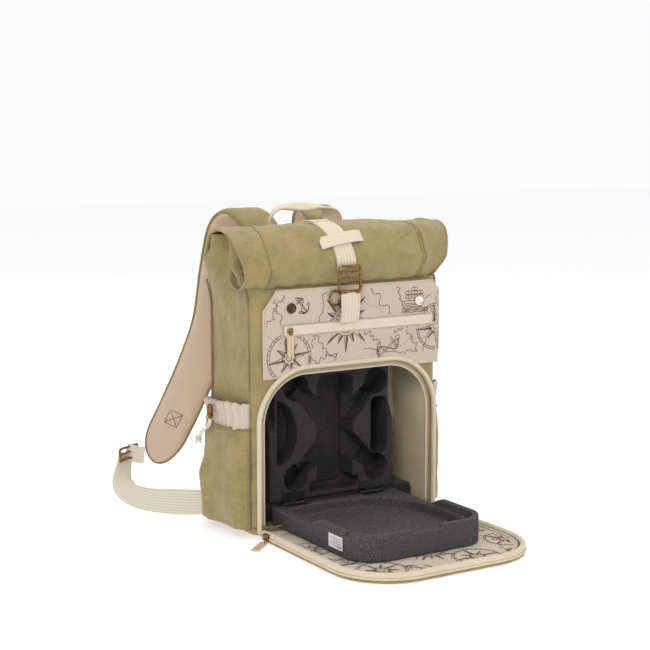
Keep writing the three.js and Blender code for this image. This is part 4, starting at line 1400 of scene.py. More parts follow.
def ladder_buckle():
    """Rounded rods: frame, middle bar and the open hook at its lower right."""
    low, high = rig.box("hook_buckle")
    cx, y = (low[0] + high[0]) / 2, (low[1] + high[1]) / 2
    w, z0, z1 = (high[0] - low[0]) / 2 - BUCKLE_ROD, low[2] + BUCKLE_ROD, high[2] - BUCKLE_ROD
    corners = rounded_outline(cx - w, cx + w, z0, z1, 4 * MM, 5)
    bent = spline([(x, y, z) for x, z in corners], 90, closed=True)
    frame_rod = tube("buckle_frame", bent, BUCKLE_ROD, BRASS, 12, closed=True, side=(0, 1, 0))
    middle = z0 + (z1 - z0) * 0.52
    bars = []
    for k, z in enumerate((middle, middle + 7 * MM)):
        line = [(cx - w + 2 * w * i / 10, y, z) for i in range(11)]
        bars.append(tube(f"buckle_bar_{k}", line, 1.4 * MM, BRASS, 12, side=(0, 1, 0)))
    hook = [(cx + w - 1 * MM, y - 1 * MM, z0 + 12 * MM), (cx + w + 0.4 * MM, y - 2.2 * MM, z0 + 6 * MM),
            (cx + w - 2 * MM, y - 2.4 * MM, z0 - 1 * MM), (cx + w - 7 * MM, y - 2 * MM, z0 - 2 * MM)]
    bars.append(tube("buckle_hook", spline(hook, 24), 1.7 * MM, BRASS, 12, side=(0, 1, 0)))
    return joined("ladder_buckle_brass", [frame_rod, *bars])


def lower_webbing():
    low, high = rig.box("closure_strap_lower")
    cx = (low[0] + high[0]) / 2 / MM
    top, bottom = high[2] / MM, low[2] / MM
    front, back = low[1] / MM + 1, high[1] / MM - 1
    points = [(cx + 1.5, back, bottom), (cx + 0.5, (front + back) / 2 - 1.5, (top + bottom) / 2),
              (cx - 1.5, front, top)]
    band = webbing_band("lower_band", points, [(1, 0, 0)] * 3, CLOSURE_WIDE, 2 * MM, WEBBING, 50)
    threads = edge_threads("lower_thread", points, [(1, 0, 0)] * 3, CLOSURE_WIDE, -1.1 * MM, STITCH, 50)
    return joined("closure_tail_webbing", [band, *threads])


def brass_ring():
    low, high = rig.box("strap_ring")
    centre = [(a + b) / 2 for a, b in zip(low, high)]
    radius = (high[0] - low[0]) / 2 - 1.4 * MM
    points = ring_points(centre, radius, 48, 1.1)
    return tube("strap_ring_brass", points, 1.35 * MM, BRASS, 12, closed=True, side=(0, 1, 0))


HANDLE_SIDES = [(1, 0.2, 0), (1, 0.4, 0),
                (0.3, 1, 0)] + [(0, 0.8, 0.6)] * 5 + [(-0.3, 1, 0), (-1, 0.4, 0), (-1, 0.2, 0)]


def carry_webbing():
    """The carry handle: wide folded feet and a narrow doubled grip."""
    low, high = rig.box("carry_handle")
    y = (low[1] + high[1]) / 2 / MM
    x0, x1, z0, z1 = low[0] / MM + 2, high[0] / MM - 2, low[2] / MM, high[2] / MM - 2.2
    points = [(x0 + 4, y + 5, z0 - 32), (x0 + 3, y + 2, z0 - 14), (x0 + 1, y, z0 + 3), (x0 + 5, y, z1 - 7),
              (x0 + 16, y, z1), (x0 + 44, y, z1), (x1 - 20, y, z1 - 0.5), (x1 - 7, y, z1 - 6),
              (x1 - 1, y, z0 + 2),
              (x1 - 3, y + 2, z0 - 14), (x1 - 4, y + 5, z0 - 32)]

    def grip(t):
        narrow = 1 - 0.45 * smooth_step(0.24, 0.36, t) * (1 - smooth_step(0.64, 0.76, t))
        return narrow, 1 + 0.5 * (1 - narrow)

    return webbing_band("carry_handle_webbing", points, HANDLE_SIDES, HANDLE_WIDE, 3 * MM, WEBBING, 140,
                        grip)


# ------------------------------------------------------------------ the door, folded down
DOOR_BACK = DOOR_HIGH[1]
DOOR_LENGTH = DOOR_HIGH[1] - DOOR_LOW[1]
DOOR_HALF = (DOOR_HIGH[0] - DOOR_LOW[0]) / 2
RIM_TOP = RIM_HIGH[2]
LINING_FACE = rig.box("door_lining")[1][2]


def door_path(inset, steps=14):
    """The door's edge from its left hinge end, round the front, to its right one, as (x, y)."""
    path = arch_path(DOOR_HALF - inset, 0, DOOR_LENGTH - inset, DOOR_CORNER - inset, steps)
    return [(x, DOOR_BACK - reach) for x, reach in path]


def in_door(x, y, margin=15 * MM):
    half, reach = DOOR_HALF - margin, DOOR_BACK - y
    top = DOOR_LENGTH - margin
    corner = DOOR_CORNER - margin
    if abs(x) > half or reach > top or reach < 6 * MM:
        return False
    dx, dy = abs(x) - (half - corner), reach - (top - corner)
    return not (dx > 0 and dy > 0 and math.hypot(dx, dy) > corner)


def door_swell(x, y):
    """Height of the padded lining's face over the ground."""
    soft = 0.5 * MM * wobble(x, y, 0, 38 * MM) + 0.3 * MM * wobble(x, y, 5, 14 * MM)
    return LINING_FACE + 0.2 * MM + soft


def on_door(x, y, lift=0.14 * MM):
    return x, y, door_swell(x, y) + lift


def door_canvas():
    slab = prism("door_canvas", door_path(1 * MM), 0.4 * MM, DOOR_HIGH[2], CANVAS)
    remeshed(slab, 2 * MM, 4)

    def move(p, n):
        return Vector((0, 0, 0.25 * MM * wobble(p.x, p.y, 0, 20 * MM) if p.z > 1 * MM else 0))

    return displaced(slab, move)


def door_cloth():
    slab = prism("door_lining_cloth", door_path(8 * MM), DOOR_HIGH[2] + 0.4 * MM, LINING_FACE, LINING)
    remeshed(slab, 1.3 * MM, 2)
    middle = (DOOR_HIGH[2] + LINING_FACE) / 2

    def move(p, n):
        return Vector((0, 0, door_swell(p.x, p.y) - LINING_FACE if p.z > middle else 0))

    return displaced(slab, move)


def door_print():
    strokes = []
    for cx, cy, r, turn in ((-84, -262, 30, 0.3), (40, -276, 30, 0.0), (112, -236, 26, 0.5),
                            (-112, -150, 26, 0.2),
                            (110, -120, 28, 0.1), (-20, -170, 44, 0.2), (60, -110, 30, 0.4)):
        strokes += compass_rose(cx * MM, cy * MM, r * MM, turn)
    strokes += sun_rose(0, -232 * MM, 34 * MM) + anchor_mark(-44 * MM, -276 * MM, 34 * MM, 0.8)
    strokes += anchor_mark(84 * MM, -282 * MM, 30 * MM, -0.6) + ship_mark(100 * MM, -176 * MM, 36 * MM)
    strokes += ship_mark(-112 * MM, -208 * MM, 34 * MM)
    for k in range(14):
        a = 0.9 * k
        x, y = 96 * math.sin(a * 1.7), -185 + 100 * math.cos(a * 2.3)
        end_x, end_y = x + 60 * math.cos(a), y + 40 * math.sin(a)
        strokes.append(coast(x * MM, y * MM, end_x * MM, end_y * MM, 90 + k))
    return printed("door_print", on_door, strokes, in_door)


def door_binding():
    """The thick bound rim with its piping; the zipper runs just inside it."""
    middle = (RIM_LOW[2] + RIM_TOP) / 2
    points = [(x, y, middle + 0.6 * MM * wobble(x, y, 0, 50 * MM)) for x, y in door_path(4.5 * MM)]
    rim = tube("rim_tube", spline(points, 190), 3.9 * MM, BINDING, 14, squash=0.92, side=(0, 0, 1))
    low = [(x, y, DOOR_HIGH[2] + 0.6 * MM) for x, y in door_path(1.4 * MM)]
    piping = tube("rim_piping", spline(low, 190), 1.4 * MM, BINDING, 8, side=(0, 0, 1))
    return joined("door_binding", [rim, piping])


def door_zipper():
    face = LINING_FACE
    tape_points = spline([(x, y, face + 0.7 * MM) for x, y in door_path(11.5 * MM)], 170)
    tape = tube("door_tape", tape_points, 2.4 * MM, ZIP_TAPE, 8, squash=0.35, side=(0, 0, 1))
    coil_points = spline([(x, y, face + 1.3 * MM) for x, y in door_path(10 * MM)], 170)
    coil = tube("door_coil", coil_points, 1.1 * MM, STITCH_OLIVE, 8, side=(0, 0, 1))
    return joined("door_zip_tape", [tape, coil])


def door_tab():
    """The leather pull of the door's zip, lying on the ground beside the door."""
    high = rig.box("door_zip_pull")[1]
    width, length = 10 * MM, 34 * MM
    outline = rounded_outline(-length, 0, -width / 2, width / 2, 2 * MM)
    tab = bevelled(prism("door_tab_leather", outline, 1 * MM, 3 * MM, LEATHER), 0.4 * MM)
    threads = []
    for s in (-1, 1):
        line = [(-length + 3 * MM + (length - 6 * MM) * k / 12, s * 3 * MM, 3.05 * MM) for k in range(13)]
        threads.append(tube(f"door_tab_thread_{s}", line, 0.3 * MM, STITCH, 6))
    tab = joined("door_tab_leather", [tab, *threads])
    turn = math.radians(42)
    corner = (high[0] - width / 2 * math.sin(turn), high[1] - width / 2 * math.cos(turn), 0)
    tab.data.transform(Matrix.Rotation(turn, 4, "Z"))
    tab.data.transform(Matrix.Translation(corner))
    return tab


def door_slider():
    """The brass slider on the door's rim and the wire loop that carries its leather pull."""
    x, y = RIM_LOW[0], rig.box("door_zip_pull")[1][1] - 3 * MM
    outline = rounded_outline(x - 3 * MM, x + 5 * MM, y - 6 * MM, y + 6 * MM, 2.5 * MM)
    body = bevelled(prism("door_slider_body", outline, 4 * MM, 12 * MM, BRASS), 0.8 * MM)
    centre, along = Vector((x - 3 * MM, y - 2.5 * MM, 4.6 * MM)), Vector((-0.74, -0.67, 0))
    turns = [TAU * k / 24 for k in range(24)]
    wire = [centre + 3.6 * MM * (along * math.cos(a) + Vector((0, 0, 1)) * math.sin(a)) for a in turns]
    loop = tube("door_slider_loop", wire, 0.7 * MM, BRASS, 8, closed=True, side=(0.67, -0.74, 0))
    return joined("door_slider", [body, loop])


def hinge_cloth():
    """The cloth that joins the bag's bottom front edge to the door."""
    start, stop = FRONT + 1 * MM, DOOR_BACK - 5 * MM
    half = DOOR_HALF - 9 * MM

    def point(u, v):
        y = start + (stop - start) * v
        return -half + 2 * half * u, y, 6.4 * MM + 1.0 * MM * v + 0.3 * MM * wobble(u * 2, v, 0, 0.1)

    return solidify(grid("hinge_cloth", point, 70, 12, BINDING), 1.0 * MM, 0.0)


# ------------------------------------------------------------------ side pockets, cuffs and drawcords
POCKET_LOW, POCKET_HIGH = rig.box("side_pocket_left")
CUFF_LOW, CUFF_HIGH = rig.box("pocket_cuff_left")
LOCK_LOW, LOCK_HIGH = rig.box("cord_lock_left")
LOCK_X = (LOCK_LOW[0] + LOCK_HIGH[0]) / 2


def pocket_canvas():
    """The left side pocket: a slack bellows panel with a slanting pleat and a stitched top."""
    depth = (POCKET_HIGH[1] - POCKET_LOW[1]) / 2
    height = POCKET_HIGH[2] - POCKET_LOW[2]
    bulge = POCKET_HIGH[0] - POCKET_LOW[0]

    def point(u, v):
        y = POCKET_LOW[1] + 2 * depth * u
        lean = (1 - abs(2 * u - 1) ** 5) ** 0.5
        profile = 0.8 + 0.2 * math.sin(math.pi * (0.15 + 0.75 * v))
        profile += 0.34 * smooth_step(0.35, 0.85, u) * smooth_step(0.62, 0.42, v)
        top_gather = 1 - 0.12 * smooth_step(0.85, 1, v)
        out = bulge * lean * profile * top_gather
        pleat = math.exp(-(((u - 0.75 + 0.62 * v) / 0.035) ** 2)) * smooth_step(0, 0.1, lean)
        crease = 1.5 * math.sin((u * 2.4 - v * 1.6) * 5.5 + 2 * wobble(u, v, 0, 0.4))
        crease += 2.6 * wobble(u, v * 1.4, 1, 0.3) - 1.6
        out += (crease * 0.7 - 1.6 * pleat) * MM * lean
        out = min(max(out, 0.5 * MM), 1.35 * bulge)
        return POCKET_HIGH[0] + 0.4 * MM - out, y, POCKET_LOW[2] + height * v

    front = grid("pocket_canvas", point, 110, 110, CANVAS)
    return solidify(front, 1.6 * MM, 1.0 if front.data.polygons[0].normal.x > 0 else -1.0)


def pocket_stitching():
    depth = (POCKET_HIGH[1] - POCKET_LOW[1]) / 2
    bulge = POCKET_HIGH[0] - POCKET_LOW[0]
    pieces = []
    for k, y in enumerate((POCKET_LOW[1] + 2 * MM, POCKET_HIGH[1] - 2 * MM)):
        points = [(POCKET_HIGH[0] - 1.4 * MM, y, (14 + 122 * i / 40) * MM) for i in range(41)]
        pieces.append(tube(f"pocket_edge_{k}", points, 1.3 * MM, CANVAS_SEAM_SHADE, 8, side=(0, 1, 0)))
    hem = []
    for i in range(61):
        u = i / 60
        lean = math.sin(math.pi * min(1, max(0, u))) ** 0.4
        x = POCKET_HIGH[0] - bulge * 0.86 * lean - 0.6 * MM
        hem.append((x, POCKET_LOW[1] + 2 * depth * u, POCKET_HIGH[2] - 2 * MM))
    pieces.append(tube("pocket_hem", hem, 1.2 * MM, CANVAS_SEAM_SHADE, 8, side=(0, 0, 1)))
    return joined("pocket_stitching", pieces)


def gathered_cuff():
    """The pale cuff over the pocket, drawn into folds by its cord."""
    depth = (CUFF_HIGH[1] - CUFF_LOW[1]) / 2
    height = CUFF_HIGH[2] - CUFF_LOW[2]
    bulge = CUFF_HIGH[0] - CUFF_LOW[0]

    def point(u, v):
        y = CUFF_LOW[1] + 2 * depth * u
        lean = (1 - abs(2 * u - 1) ** 5) ** 0.5
        fold = math.sin(TAU * 8.5 * u + 2.5 * wobble(u, 0, 0, 0.2))
        depth_of_fold = 1.2 + 2.6 * smooth_step(0.15, 0.75, v)
        waist = 1 - 0.16 * math.sin(math.pi * v) + 0.06 * v
        roll = 0.5 * bulge * (1 - math.sqrt(max(0.0, 1 - max(0.0, (v - 0.82) / 0.18) ** 2)))
        out = bulge * lean * waist * 0.92 + fold * depth_of_fold * MM * lean - roll * 0.6 * lean
        out += 1.0 * MM * wobble(u, v, 2, 0.13) * lean
        uneven = 2.4 * MM * fold + 3 * MM * wobble(u, 1, 0, 0.3)
        z = CUFF_LOW[2] - 3 * MM + (height + 1 * MM) * v + uneven * v * lean
        z -= 7 * MM * u * v
        return CUFF_HIGH[0] + 0.6 * MM - min(max(out, 0.4 * MM), bulge + 2 * MM), y, z

    sheet = grid("pocket_cuff_cloth", point, 170, 34, CUFF)
    return solidify(sheet, 1.2 * MM, 0.0)


def lock_barrel():
    """A turned brass barrel lock with ribs, end caps and a spring plunger."""
    y0, y1 = LOCK_LOW[1], LOCK_HIGH[1]
    z = (LOCK_LOW[2] + LOCK_HIGH[2]) / 2
    r = (LOCK_HIGH[0] - LOCK_LOW[0]) / 2
    top, bottom = LOCK_HIGH[2], LOCK_LOW[2]
    tall = top - bottom > 1.5 * (y1 - y0)
    profile = [(0.0, 0.0), (0.55, 0.0), (0.72, 0.03), (0.72, 0.12), (0.95, 0.14), (1.0, 0.18), (1.0, 0.3),
               (0.88, 0.33),
               (0.88, 0.42), (1.0, 0.45), (1.0, 0.76), (0.92, 0.8), (0.72, 0.83), (0.68, 0.9), (0.8, 0.92),
               (0.8, 0.99),
               (0.6, 1.0), (0.0, 1.0)]
    stations = np.linspace(0, 1, len(profile))
    centre_y = (y0 + y1) / 2

    def point(u, v):
        radius = r * np.interp(v, stations, [p[0] for p in profile])
        along = np.interp(v, stations, [p[1] for p in profile])
        a = TAU * u
        if tall:
            return *polar(LOCK_X, centre_y, radius, a), bottom + (top - bottom) * along
        x, height = polar(LOCK_X, z, radius, a)
        return x, y0 + (y1 - y0) * along, height

    return face_out(grid("cord_lock_brass", point, 32, 68, BRASS, closed_u=True))


DRAWCORD = [(LOCK_X / MM + x, y, z) for x, y, z in (
    (0, 8, 142.6), (-0.3, 8.4, 137.5), (-1.6, 14, 130),
    (-1.8, 24, 124.5), (0.6, 35, 119), (3.6, 44.5, 112.5))]


def drawcord_tube():
    """Two soft cords side by side, twisted once, hanging from the lock to their knot."""
    path = spline(np.array(DRAWCORD) * MM, 50)
    tangents = directions(path)
    strands = []
    for sign in (-1, 1):
        points = []
        for i, p in enumerate(path):
            a = 0.6 + 1.2 * math.pi * i / (len(path) - 1)
            across = np.cross(tangents[i], (1, 0, 0)) * math.cos(a)
            across += np.cross(tangents[i], (0, 1, 0)) * math.sin(a)
            across /= np.linalg.norm(across)
            points.append(p + sign * 0.9 * MM * across)
        strands.append(tube(f"strand_{sign}", points, 1.5 * MM, CORD, 8, side=(1, 0.1, 0)))
    return joined("drawcord_cloth", strands), [tuple(p) for p in path]


def knot_of_cord():
    """An overhand knot with two short tails."""
    low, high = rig.box("cord_knot_left")
    c = np.array([(a + b) / 2 for a, b in zip(low, high)])
    points = []
    for k in range(60):
        t = TAU * k / 60
        points.append(c + MM * np.array([2.6 * (math.sin(t) + 1.1 * math.sin(2 * t)) * 0.62,
                                         2.6 * (math.cos(t) - 1.1 * math.cos(2 * t)) * 0.62,
                                         -2.6 * math.sin(3 * t) * 0.9 + 0.6]))
    loops = [tube("knot_loop", points, 1.5 * MM, CORD, 8, closed=True, side=(0.3, 0.2, 1))]
    for sign in (-1, 1):
        tail = [c + MM * np.array(p) for p in ((0, 0, 0), (sign * 2, 1, -3), (sign * 3.4, 1.5, -6.4))]
        loops.append(tube(f"knot_tail_{sign}", spline(tail, 14), 1.2 * MM, CORD, 8, side=(0, 1, 0)))
    return joined("cord_knot_cloth", loops)


# ------------------------------------------------------------------ shoulder straps
STRAP_ROUTE = [(-49, 64, 322), (-50, 65, 345), (-51, 78, 374), (-55, 114, 388), (-62, 142, 366),
               (-68, 154, 310), (-78, 157, 240), (-99, 158, 185), (-127, 158, 130), (-152, 158, 86),
               (-164, 157, 58)]
STRAP_SIDES = [(1, 0, 0)] * 4 + [(0.95, -0.3, 0), (0.92, -0.4, 0), (0.88, -0.47, 0.06), (0.82, -0.47, 0.3)]
STRAP_SIDES += [(0.8, -0.45, 0.38)] * 3
STRAP_WIDTH = 56 * MM
TAIL_ROUTE = [(-198, 178, 69), (-203, 175, 54), (-209, 166, 38), (-209, 149, 25), (-195, 128, 18.5),
              (-174, 104, 17.6), (-150, 80, 18.5), (-132, 64.5, 20)]


def strap_shape(t):
    """Width and thickness factors along the strap: narrow root, rounded tongue at the end."""
    end = max(0.0, (t - 0.90) / 0.10)
    round_end = math.sqrt(max(0.02, 1 - end * end))
    width = (0.86 + 0.14 * smooth_step(0.0, 0.2, t)) * round_end
    return width, 0.35 + 0.65 * math.sqrt(max(0.0, 1 - end ** 4))


def half_lens(width, thick, outward):
    """One face of the strap: flat on the inside, crowned on the outside."""
    rows = 14
    w = width / 2
    points = [(-w + 2 * w * i / rows, 0.02 * thick * outward) for i in range(rows + 1)]
    crown = [(w - 2 * w * i / rows,
              outward * thick / 2 * (1 - abs(1 - 2 * i / rows) ** 6) ** 0.8 + 0.06 * thick * outward)
             for i in range(rows + 1)]
    return points + crown


def shoulder_strap():
    """The left strap: canvas outside, padding inside, a bound edge and a crossed box of stitches."""
    route = spline(np.array(STRAP_ROUTE) * MM, 130)
    tangents = directions(route)
    sides, normals = squared(spline(np.array(STRAP_SIDES, float), 130), tangents)
    canvas_side = 1 if normals[80][1] > 0 else -1
    thick = 11 * MM
    width = STRAP_WIDTH - 3 * MM
    outer = loft("strap_canvas", route, sides, half_lens(width, thick, canvas_side), CANVAS,
                 scale=strap_shape)
    inner = loft("strap_padding", route, sides, half_lens(width, thick, -canvas_side), PADDING,
                 scale=strap_shape)
    for obj in (outer, inner):
        displaced(obj, lambda p, n: n * (0.5 * MM * wobble(*p, 30 * MM)))
    edge = []
    for sign in (-1, 1):
        edge += [[route[i] + sides[i] * sign * strap_shape(i / 129)[0] * (STRAP_WIDTH / 2 - 2 * MM)
                  for i in range(130)][::-sign]]
    tip = edge[1] + edge[0] if np.linalg.norm(edge[1][-1] - edge[0][0]) < 40 * MM else edge[0] + edge[1]
    border = spline(tip, 300)
    binding = tube("strap_binding", border, 2.1 * MM, CANVAS_SEAM_SHADE, 10, side=(0.2, 0.9, 0.4))
    stitches = []
    centre = 112
    corners = [(-9, -9), (9, -9), (9, 9), (-9, 9)]
    edges = [(corners[k], corners[(k + 1) % 4]) for k in range(4)]
    for a, b in edges + [(corners[0], corners[2]), (corners[3], corners[1])]:
        points = []
        for k in range(9):
            u, v = a[0] + (b[0] - a[0]) * k / 8, a[1] + (b[1] - a[1]) * k / 8
            points.append(route[centre] + sides[centre] * u * MM + tangents[centre] * v * MM
                          - normals[centre] * canvas_side * 6.1 * MM)
        stitches.append(tube(f"x_stitch_{len(stitches)}", points, 0.55 * MM, STITCH_OLIVE, 6,
                             side=(0.3, 0.9, 0.2)))
    box_stitch = joined("strap_stitch", stitches)
    return outer, inner, binding, box_stitch


def strap_tail():
    sides = [(0.87, 0.5, 0), (0.82, 0.52, 0.2), (0.5, 0.4, 0.75)] + [(0, 0, 1)] * (len(TAIL_ROUTE) - 3)
    band = webbing_band("strap_tail_webbing", TAIL_ROUTE, sides, TAIL_WIDE, 2.2 * MM, WEBBING_SMOOTH, 110)
    fold = [(-176, 169, 66), (-184, 173, 67), (-193, 177, 69.5), (-199, 178, 71)]
    link = webbing_band("strap_link_webbing", fold, [(0.3, 0.16, -0.94)] * 4, LINK_WIDE, 2 * MM,
                        WEBBING_SMOOTH, 40)
    return joined("strap_tail_webbing", [band, link])


def back_yoke():
    """The stitched canvas band that holds the shoulder straps' roots and the handle to the back."""
    half, low, high = 96 * MM, 300 * MM, 336 * MM

    def point(u, v):
        x = -half + 2 * half * u
        over_root = max(0.0, 1 - (abs(abs(x) - 49 * MM) / (31 * MM)) ** 4)
        z = low + (high - low) * v
        back = body_row(z)[2]
        return x, back + 1.6 * MM + 6.4 * MM * over_root * smooth_step(0.15, 0.75, v), z

    band = solidify(grid("yoke_band", point, 120, 24, CANVAS), 1.5 * MM, 0.0)
    lines = []
    for v in (0.08, 0.16):
        line = [Vector(point(k / 80, v)) + Vector((0, 0.9 * MM, 0)) for k in range(81)]
        lines.append(tube(f"yoke_thread_{v}", line, 0.4 * MM, STITCH_OLIVE, 6))
    return joined("back_yoke", [band, *lines])


def brass_adjuster():
    """A sliding adjuster: outer frame and middle bar, in rounded rod."""
    w, h = 20 * MM, 8 * MM
    outline = rounded_outline(-w, w, -h, h, 3.5 * MM, 4)
    bent = spline([(x, 0, z) for x, z in outline], 80, closed=True)
    straight = [(-w + 2 * w * i / 10, 0, 0.5 * MM) for i in range(11)]
    rods = [tube("adjuster_frame", bent, BUCKLE_ROD, BRASS, 10, closed=True, side=(0, 1, 0)),
            tube("adjuster_bar", straight, BUCKLE_ROD, BRASS, 10, side=(0, 1, 0))]
    piece = joined("strap_adjuster_brass", rods)
    low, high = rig.box("strap_adjuster_left")
    centre = [(a + b) / 2 for a, b in zip(low, high)]
    piece.data.transform(Matrix.Translation(centre) @ Matrix.Rotation(math.radians(30), 4, "Z"))
    return piece


def back_cushion():
    """The back pad, crowned and sewn in channels."""
    low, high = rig.box("back_pad")
    outline = rounded_outline(low[0] + 2 * MM, high[0] - 2 * MM, low[2] + 2 * MM, high[2] - 2 * MM, 24 * MM,
                              8)
    pad = prism("back_pad_cloth", outline, low[1], high[1] - 2.5 * MM, PADDING, axis="Y")
    remeshed(pad, 2.6 * MM, 6)
    half_x, half_z = (high[0] - low[0]) / 2, (high[2] - low[2]) / 2
    cz = (high[2] + low[2]) / 2

    def move(p, n):
        if p.y < low[1] + 2 * MM:
            return Vector((0, 0, 0))
        dome = (1 - (abs(p.x) / half_x) ** 4) * (1 - (abs(p.z - cz) / half_z) ** 4)
        channel = sum(math.exp(-((p.z - cz - k * 58 * MM) / (3.2 * MM)) ** 2) for k in (-1, 0, 1))
        channel += math.exp(-(p.x / (3.2 * MM)) ** 2)
        out = max(0, dome) * 3.4 * MM - 2.6 * MM * min(1, channel) + 0.3 * MM * wobble(*p, 20 * MM)
        return Vector((0, out, 0))

    return displaced(pad, move)


# ------------------------------------------------------------------ the foam case
def foam_half(name, node, voxel, material=FOAM):
    """The moulded half: the CAD's form with rounded edges and a faint bead surface."""
    piece = cad_copy(name, node, material)
    remeshed(piece, voxel, 3)
    return displaced(piece, lambda p, n: n * (0.10 * MM * noise.noise(p * 420)))


def label_sheet():
    """The case's paper label and its generic printed bars."""
    low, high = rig.box("case_label")
    outline = rounded_outline(low[1], high[1], low[2], high[2], 1 * MM, 3)
    paper = prism("label_paper", outline, 0, 0.4 * MM, LABEL)
    marks = []
    y0, y1, z0, z1 = low[1] + 2 * MM, high[1] - 2 * MM, low[2] + 2 * MM, high[2] - 2 * MM
    for k in range(4):
        z = z1 - (k + 0.5) * (z1 - z0) / 4
        stop = y1 - (0.1 + 0.22 * (k % 2)) * (y1 - y0)
        bar = rectangle(y0, stop, z - 0.5 * MM, z + 0.5 * MM)
        marks.append(prism(f"mark_{k}", bar, 0.4 * MM, 0.48 * MM, LABEL_INK))
    for k, size in enumerate((3.2, 2.2)):
        y = y0 + (2 + 5 * k) * MM
        block = rectangle(y, y + size * MM, z0, z0 + 2.4 * MM)
        marks.append(prism(f"block_{k}", block, 0.4 * MM, 0.5 * MM, LABEL_INK))
    turn = Matrix(((0, 0, -1, high[0] - 0.02 * MM), (1, 0, 0, 0), (0, 1, 0, 0), (0, 0, 0, 1)))
    paper.data.transform(turn)
    ink = joined("label_marks", marks)
    ink.data.transform(turn)
    face_out(paper)
    return paper, ink


def mirror_copy(obj, name):
    """The same piece on the bag's other side."""
    other = obj.copy()
    other.data = obj.data.copy()
    other.name = name
    bpy.context.scene.collection.objects.link(other)
    other.data.transform(Matrix.Scale(-1, 4, (1, 0, 0)))
    other.data.flip_normals()
    return other


# ------------------------------------------------------------------ camera, light and floor
CAMERA_PLACE = (-0.9974, -1.6183, 0.5225)
CAMERA_TILT = math.radians(81.8)
CAMERA_TURN = math.radians(-31.7)
CAMERA_LENS = 83.08
LIGHT_AIM = Vector((0, -0.05, 0.18))
# Each area light's place, watts and size.
LIGHTS = {
    "key": ((-1.5, -1.6, 1.6), 19, 0.9),
    "fill": ((1.7, -1.6, 1.0), 5, 1.6),
    "top": ((0.3, 0.0, 2.3), 20, 1.1),
    "rim": ((0.6, 1.8, 1.5), 8, 1.2),
}


def camera_and_light():
    data = bpy.data.cameras.new("camera")
    data.lens = CAMERA_LENS
    data.sensor_width = 36
    data.clip_end = 20
    camera = bpy.data.objects.new("camera", data)
    camera.location = CAMERA_PLACE
    camera.rotation_euler = (CAMERA_TILT, 0, CAMERA_TURN)
    bpy.context.scene.collection.objects.link(camera)
    bpy.context.scene.camera = camera
    for name, (place_of, energy, size) in LIGHTS.items():
        light = bpy.data.lights.new(name, "AREA")
        light.energy = energy
        light.size = size
        lamp = bpy.data.objects.new(name, light)
        lamp.location = place_of
        lamp.rotation_euler = (LIGHT_AIM - Vector(place_of)).to_track_quat("-Z", "Y").to_euler()
        bpy.context.scene.collection.objects.link(lamp)
    world = bpy.data.worlds.new("studio")
    world.use_nodes = True
    tree = world.node_tree
    direction = tree.nodes.new("ShaderNodeTexCoord")
    height = tree.nodes.new("ShaderNodeSeparateXYZ")
    level = tree.nodes.new("ShaderNodeMapRange")
    level.inputs["From Min"].default_value = 0.10
    level.inputs["From Max"].default_value = 0.35
    level.inputs["To Min"].default_value = 0.96
    level.inputs["To Max"].default_value = 0.5
    tree.nodes["Background"].inputs["Color"].default_value = (1, 1, 1, 1)
    tree.links.new(direction.outputs["Generated"], height.inputs[0])
    tree.links.new(height.outputs[2], level.inputs["Value"])
    tree.links.new(level.outputs["Result"], tree.nodes["Background"].inputs["Strength"])
    bpy.context.scene.world = world
    bpy.context.scene.view_settings.view_transform = "Standard"
    n = Nodes("floor_white")
    floor = new_object("floor", [(-6, -6, 0), (6, -6, 0), (6, 6, 0), (-6, 6, 0)], [(0, 1, 2, 3)],
                       n.done(Base_Color=(0.64, 0.64, 0.64, 1), Roughness=0.9, Emission_Color=(1, 1, 1, 1),
                              Emission_Strength=0.58), smooth=False)
    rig.stage(floor)


camera_and_light()

# The cords come first, so that their room is known.
cord, cord_path = drawcord_tube()
knot = knot_of_cord()
sides_of_cord = {"left": (cord, knot, cord_path)}
sides_of_cord["right"] = (mirror_copy(cord, "drawcord_cloth_right"),
                          mirror_copy(knot, "cord_knot_cloth_right"),
                          [(-x, y, z) for x, y, z in cord_path])
cord.name, knot.name = "drawcord_cloth_left", "cord_knot_cloth_left"
CORD_LENGTH = sum((Vector(a) - Vector(b)).length for a, b in zip(cord_path, cord_path[1:]))
for side, (line, end, path) in sides_of_cord.items():
    place(line, "bag", "cord", f"drawcord_{side}")
    place(end, "bag", "cord", f"cord_knot_{side}")
    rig.cord(line, exit=path[0], length=CORD_LENGTH, diameter=4.5 * MM, far_end="knot", stiffness="limp",
            lay="hanging", path=path, with_pieces=[end])

# The bag.
place(bag_canvas(), "bag", "canvas", "main_shell", "top_collar")
place(bag_seams(), "bag", "canvas")
place(roll_canvas(), "bag", "canvas", "roll_top")
place(roll_seams(), "bag", "canvas")
place(opening_binding(), "bag", "binding", "opening_piping")
place(opening_zipper(), "bag", "zip_tape")
place(inner_lining(), "bag", "lining", "compartment_lining")
place(floor_pad(), "bag", "foam", "base_pad", pad=0.7)
place(front_panel_cloth(), "bag", "lining", "front_panel")
place(panel_stitching(), "bag", "lining")
place(panel_print(), "bag", "lining")
tape, teeth, welt = pocket_zip()
place(tape, "bag", "zip_tape", "pocket_zipper")
place(teeth, "bag", "zip_tape")
place(welt, "bag", "lining")
place(zip_slider(), "zip_slider", "brass", "pocket_zip_slider")
place(zip_tab(), "zip_slider", "leather", "pocket_zip_pull")
place(snap_cap("snap_cap_left", "snap_left", BRONZE), "bag", "brass", "snap_left")
place(snap_cap("snap_cap_right", "snap_right", STEEL), "bag", "steel", "snap_right")
place(closure_strap(), "bag", "webbing", "closure_strap_upper")
place(keeper_band(), "bag", "webbing", "strap_keeper")
place(ladder_buckle(), "bag", "brass", "hook_buckle")
place(lower_webbing(), "bag", "webbing", "closure_strap_lower")
place(brass_ring(), "bag", "brass", "strap_ring")
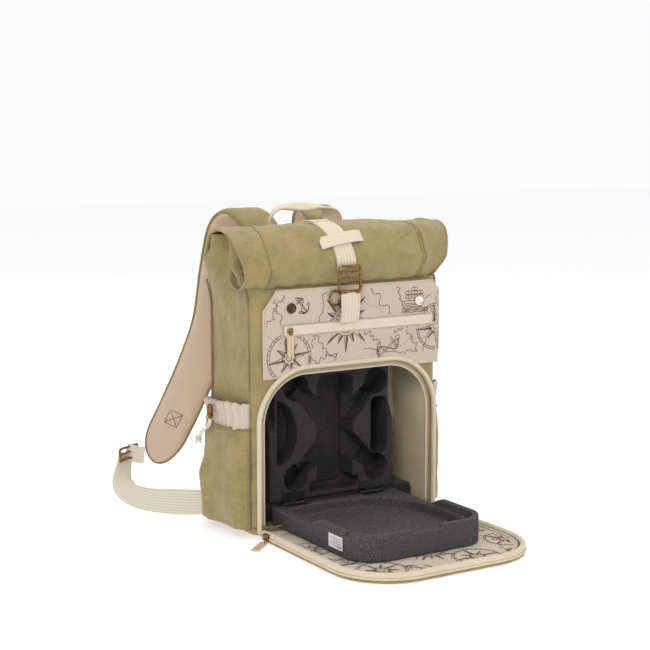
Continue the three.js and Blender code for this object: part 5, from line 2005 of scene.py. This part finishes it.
place(carry_webbing(), "bag", "webbing", "carry_handle")
place(back_cushion(), "bag", "padding", "back_pad", pad=0.7)
place(back_yoke(), "bag", "canvas")

# Pieces made once for the left side and mirrored to the right.
outer, inner, binding, stitch = shoulder_strap()
pairs = [(outer, "canvas", "shoulder_strap", 0.8), (inner, "padding", None, 0.8),
         (binding, "canvas", None, None),
         (stitch, "canvas", None, None), (strap_tail(), "webbing", "strap_webbing", None),
         (brass_adjuster(), "brass", "strap_adjuster", None),
         (pocket_canvas(), "canvas", "side_pocket", None),
         (pocket_stitching(), "canvas", None, None), (gathered_cuff(), "cuff", "pocket_cuff", None),
         (lock_barrel(), "brass", "cord_lock", None)]
for piece, slot, node, pad in pairs:
    base = piece.name
    twin = mirror_copy(piece, f"{base}_right")
    piece.name = f"{base}_left"
    for side, obj in (("left", piece), ("right", twin)):
        place(obj, "bag", slot, *([f"{node}_{side}"] if node else []), pad=pad)

# The door.
place(door_canvas(), "door", "canvas", "door_panel", pad=0.6)
place(door_cloth(), "door", "lining", "door_lining")
place(door_print(), "door", "lining")
place(door_binding(), "door", "binding", "door_rim")
place(door_zipper(), "door", "zip_tape")
place(door_tab(), "door", "leather", "door_zip_pull")
place(door_slider(), "door", "brass")
strip = hinge_cloth()
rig.slot(strip, "binding")
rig.blend(strip, "bag", "door", start=(0, FRONT, 7 * MM), end=(0, DOOR_BACK - 4 * MM, 7 * MM))

# The foam case.
# The tray takes the foam with painted shade.
place(foam_half("case_tray_foam", "case_tray", 1.5 * MM, FOAM_PAINTED_SHADE), "bag", "foam", "case_tray")
place(foam_half("case_lid_foam", "case_lid", 1.5 * MM), "case_lid", "foam", "case_lid")
paper, ink = label_sheet()
place(paper, "case_lid", "label", "case_label")
place(ink, "case_lid", "label")
for side in ("left", "right"):
    for node, material in (("tray_hinge_", PLASTIC), ("lid_hinge_", PLASTIC), ("hinge_pin_", STEEL)):
        frame["nodes"][node + side].material_slots[0].material = material

with open("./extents.json", "w") as file:
    json.dump({"cad": [list(c) for c in CAD_BOX], "visual": [list(c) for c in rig.bounds()]}, file)
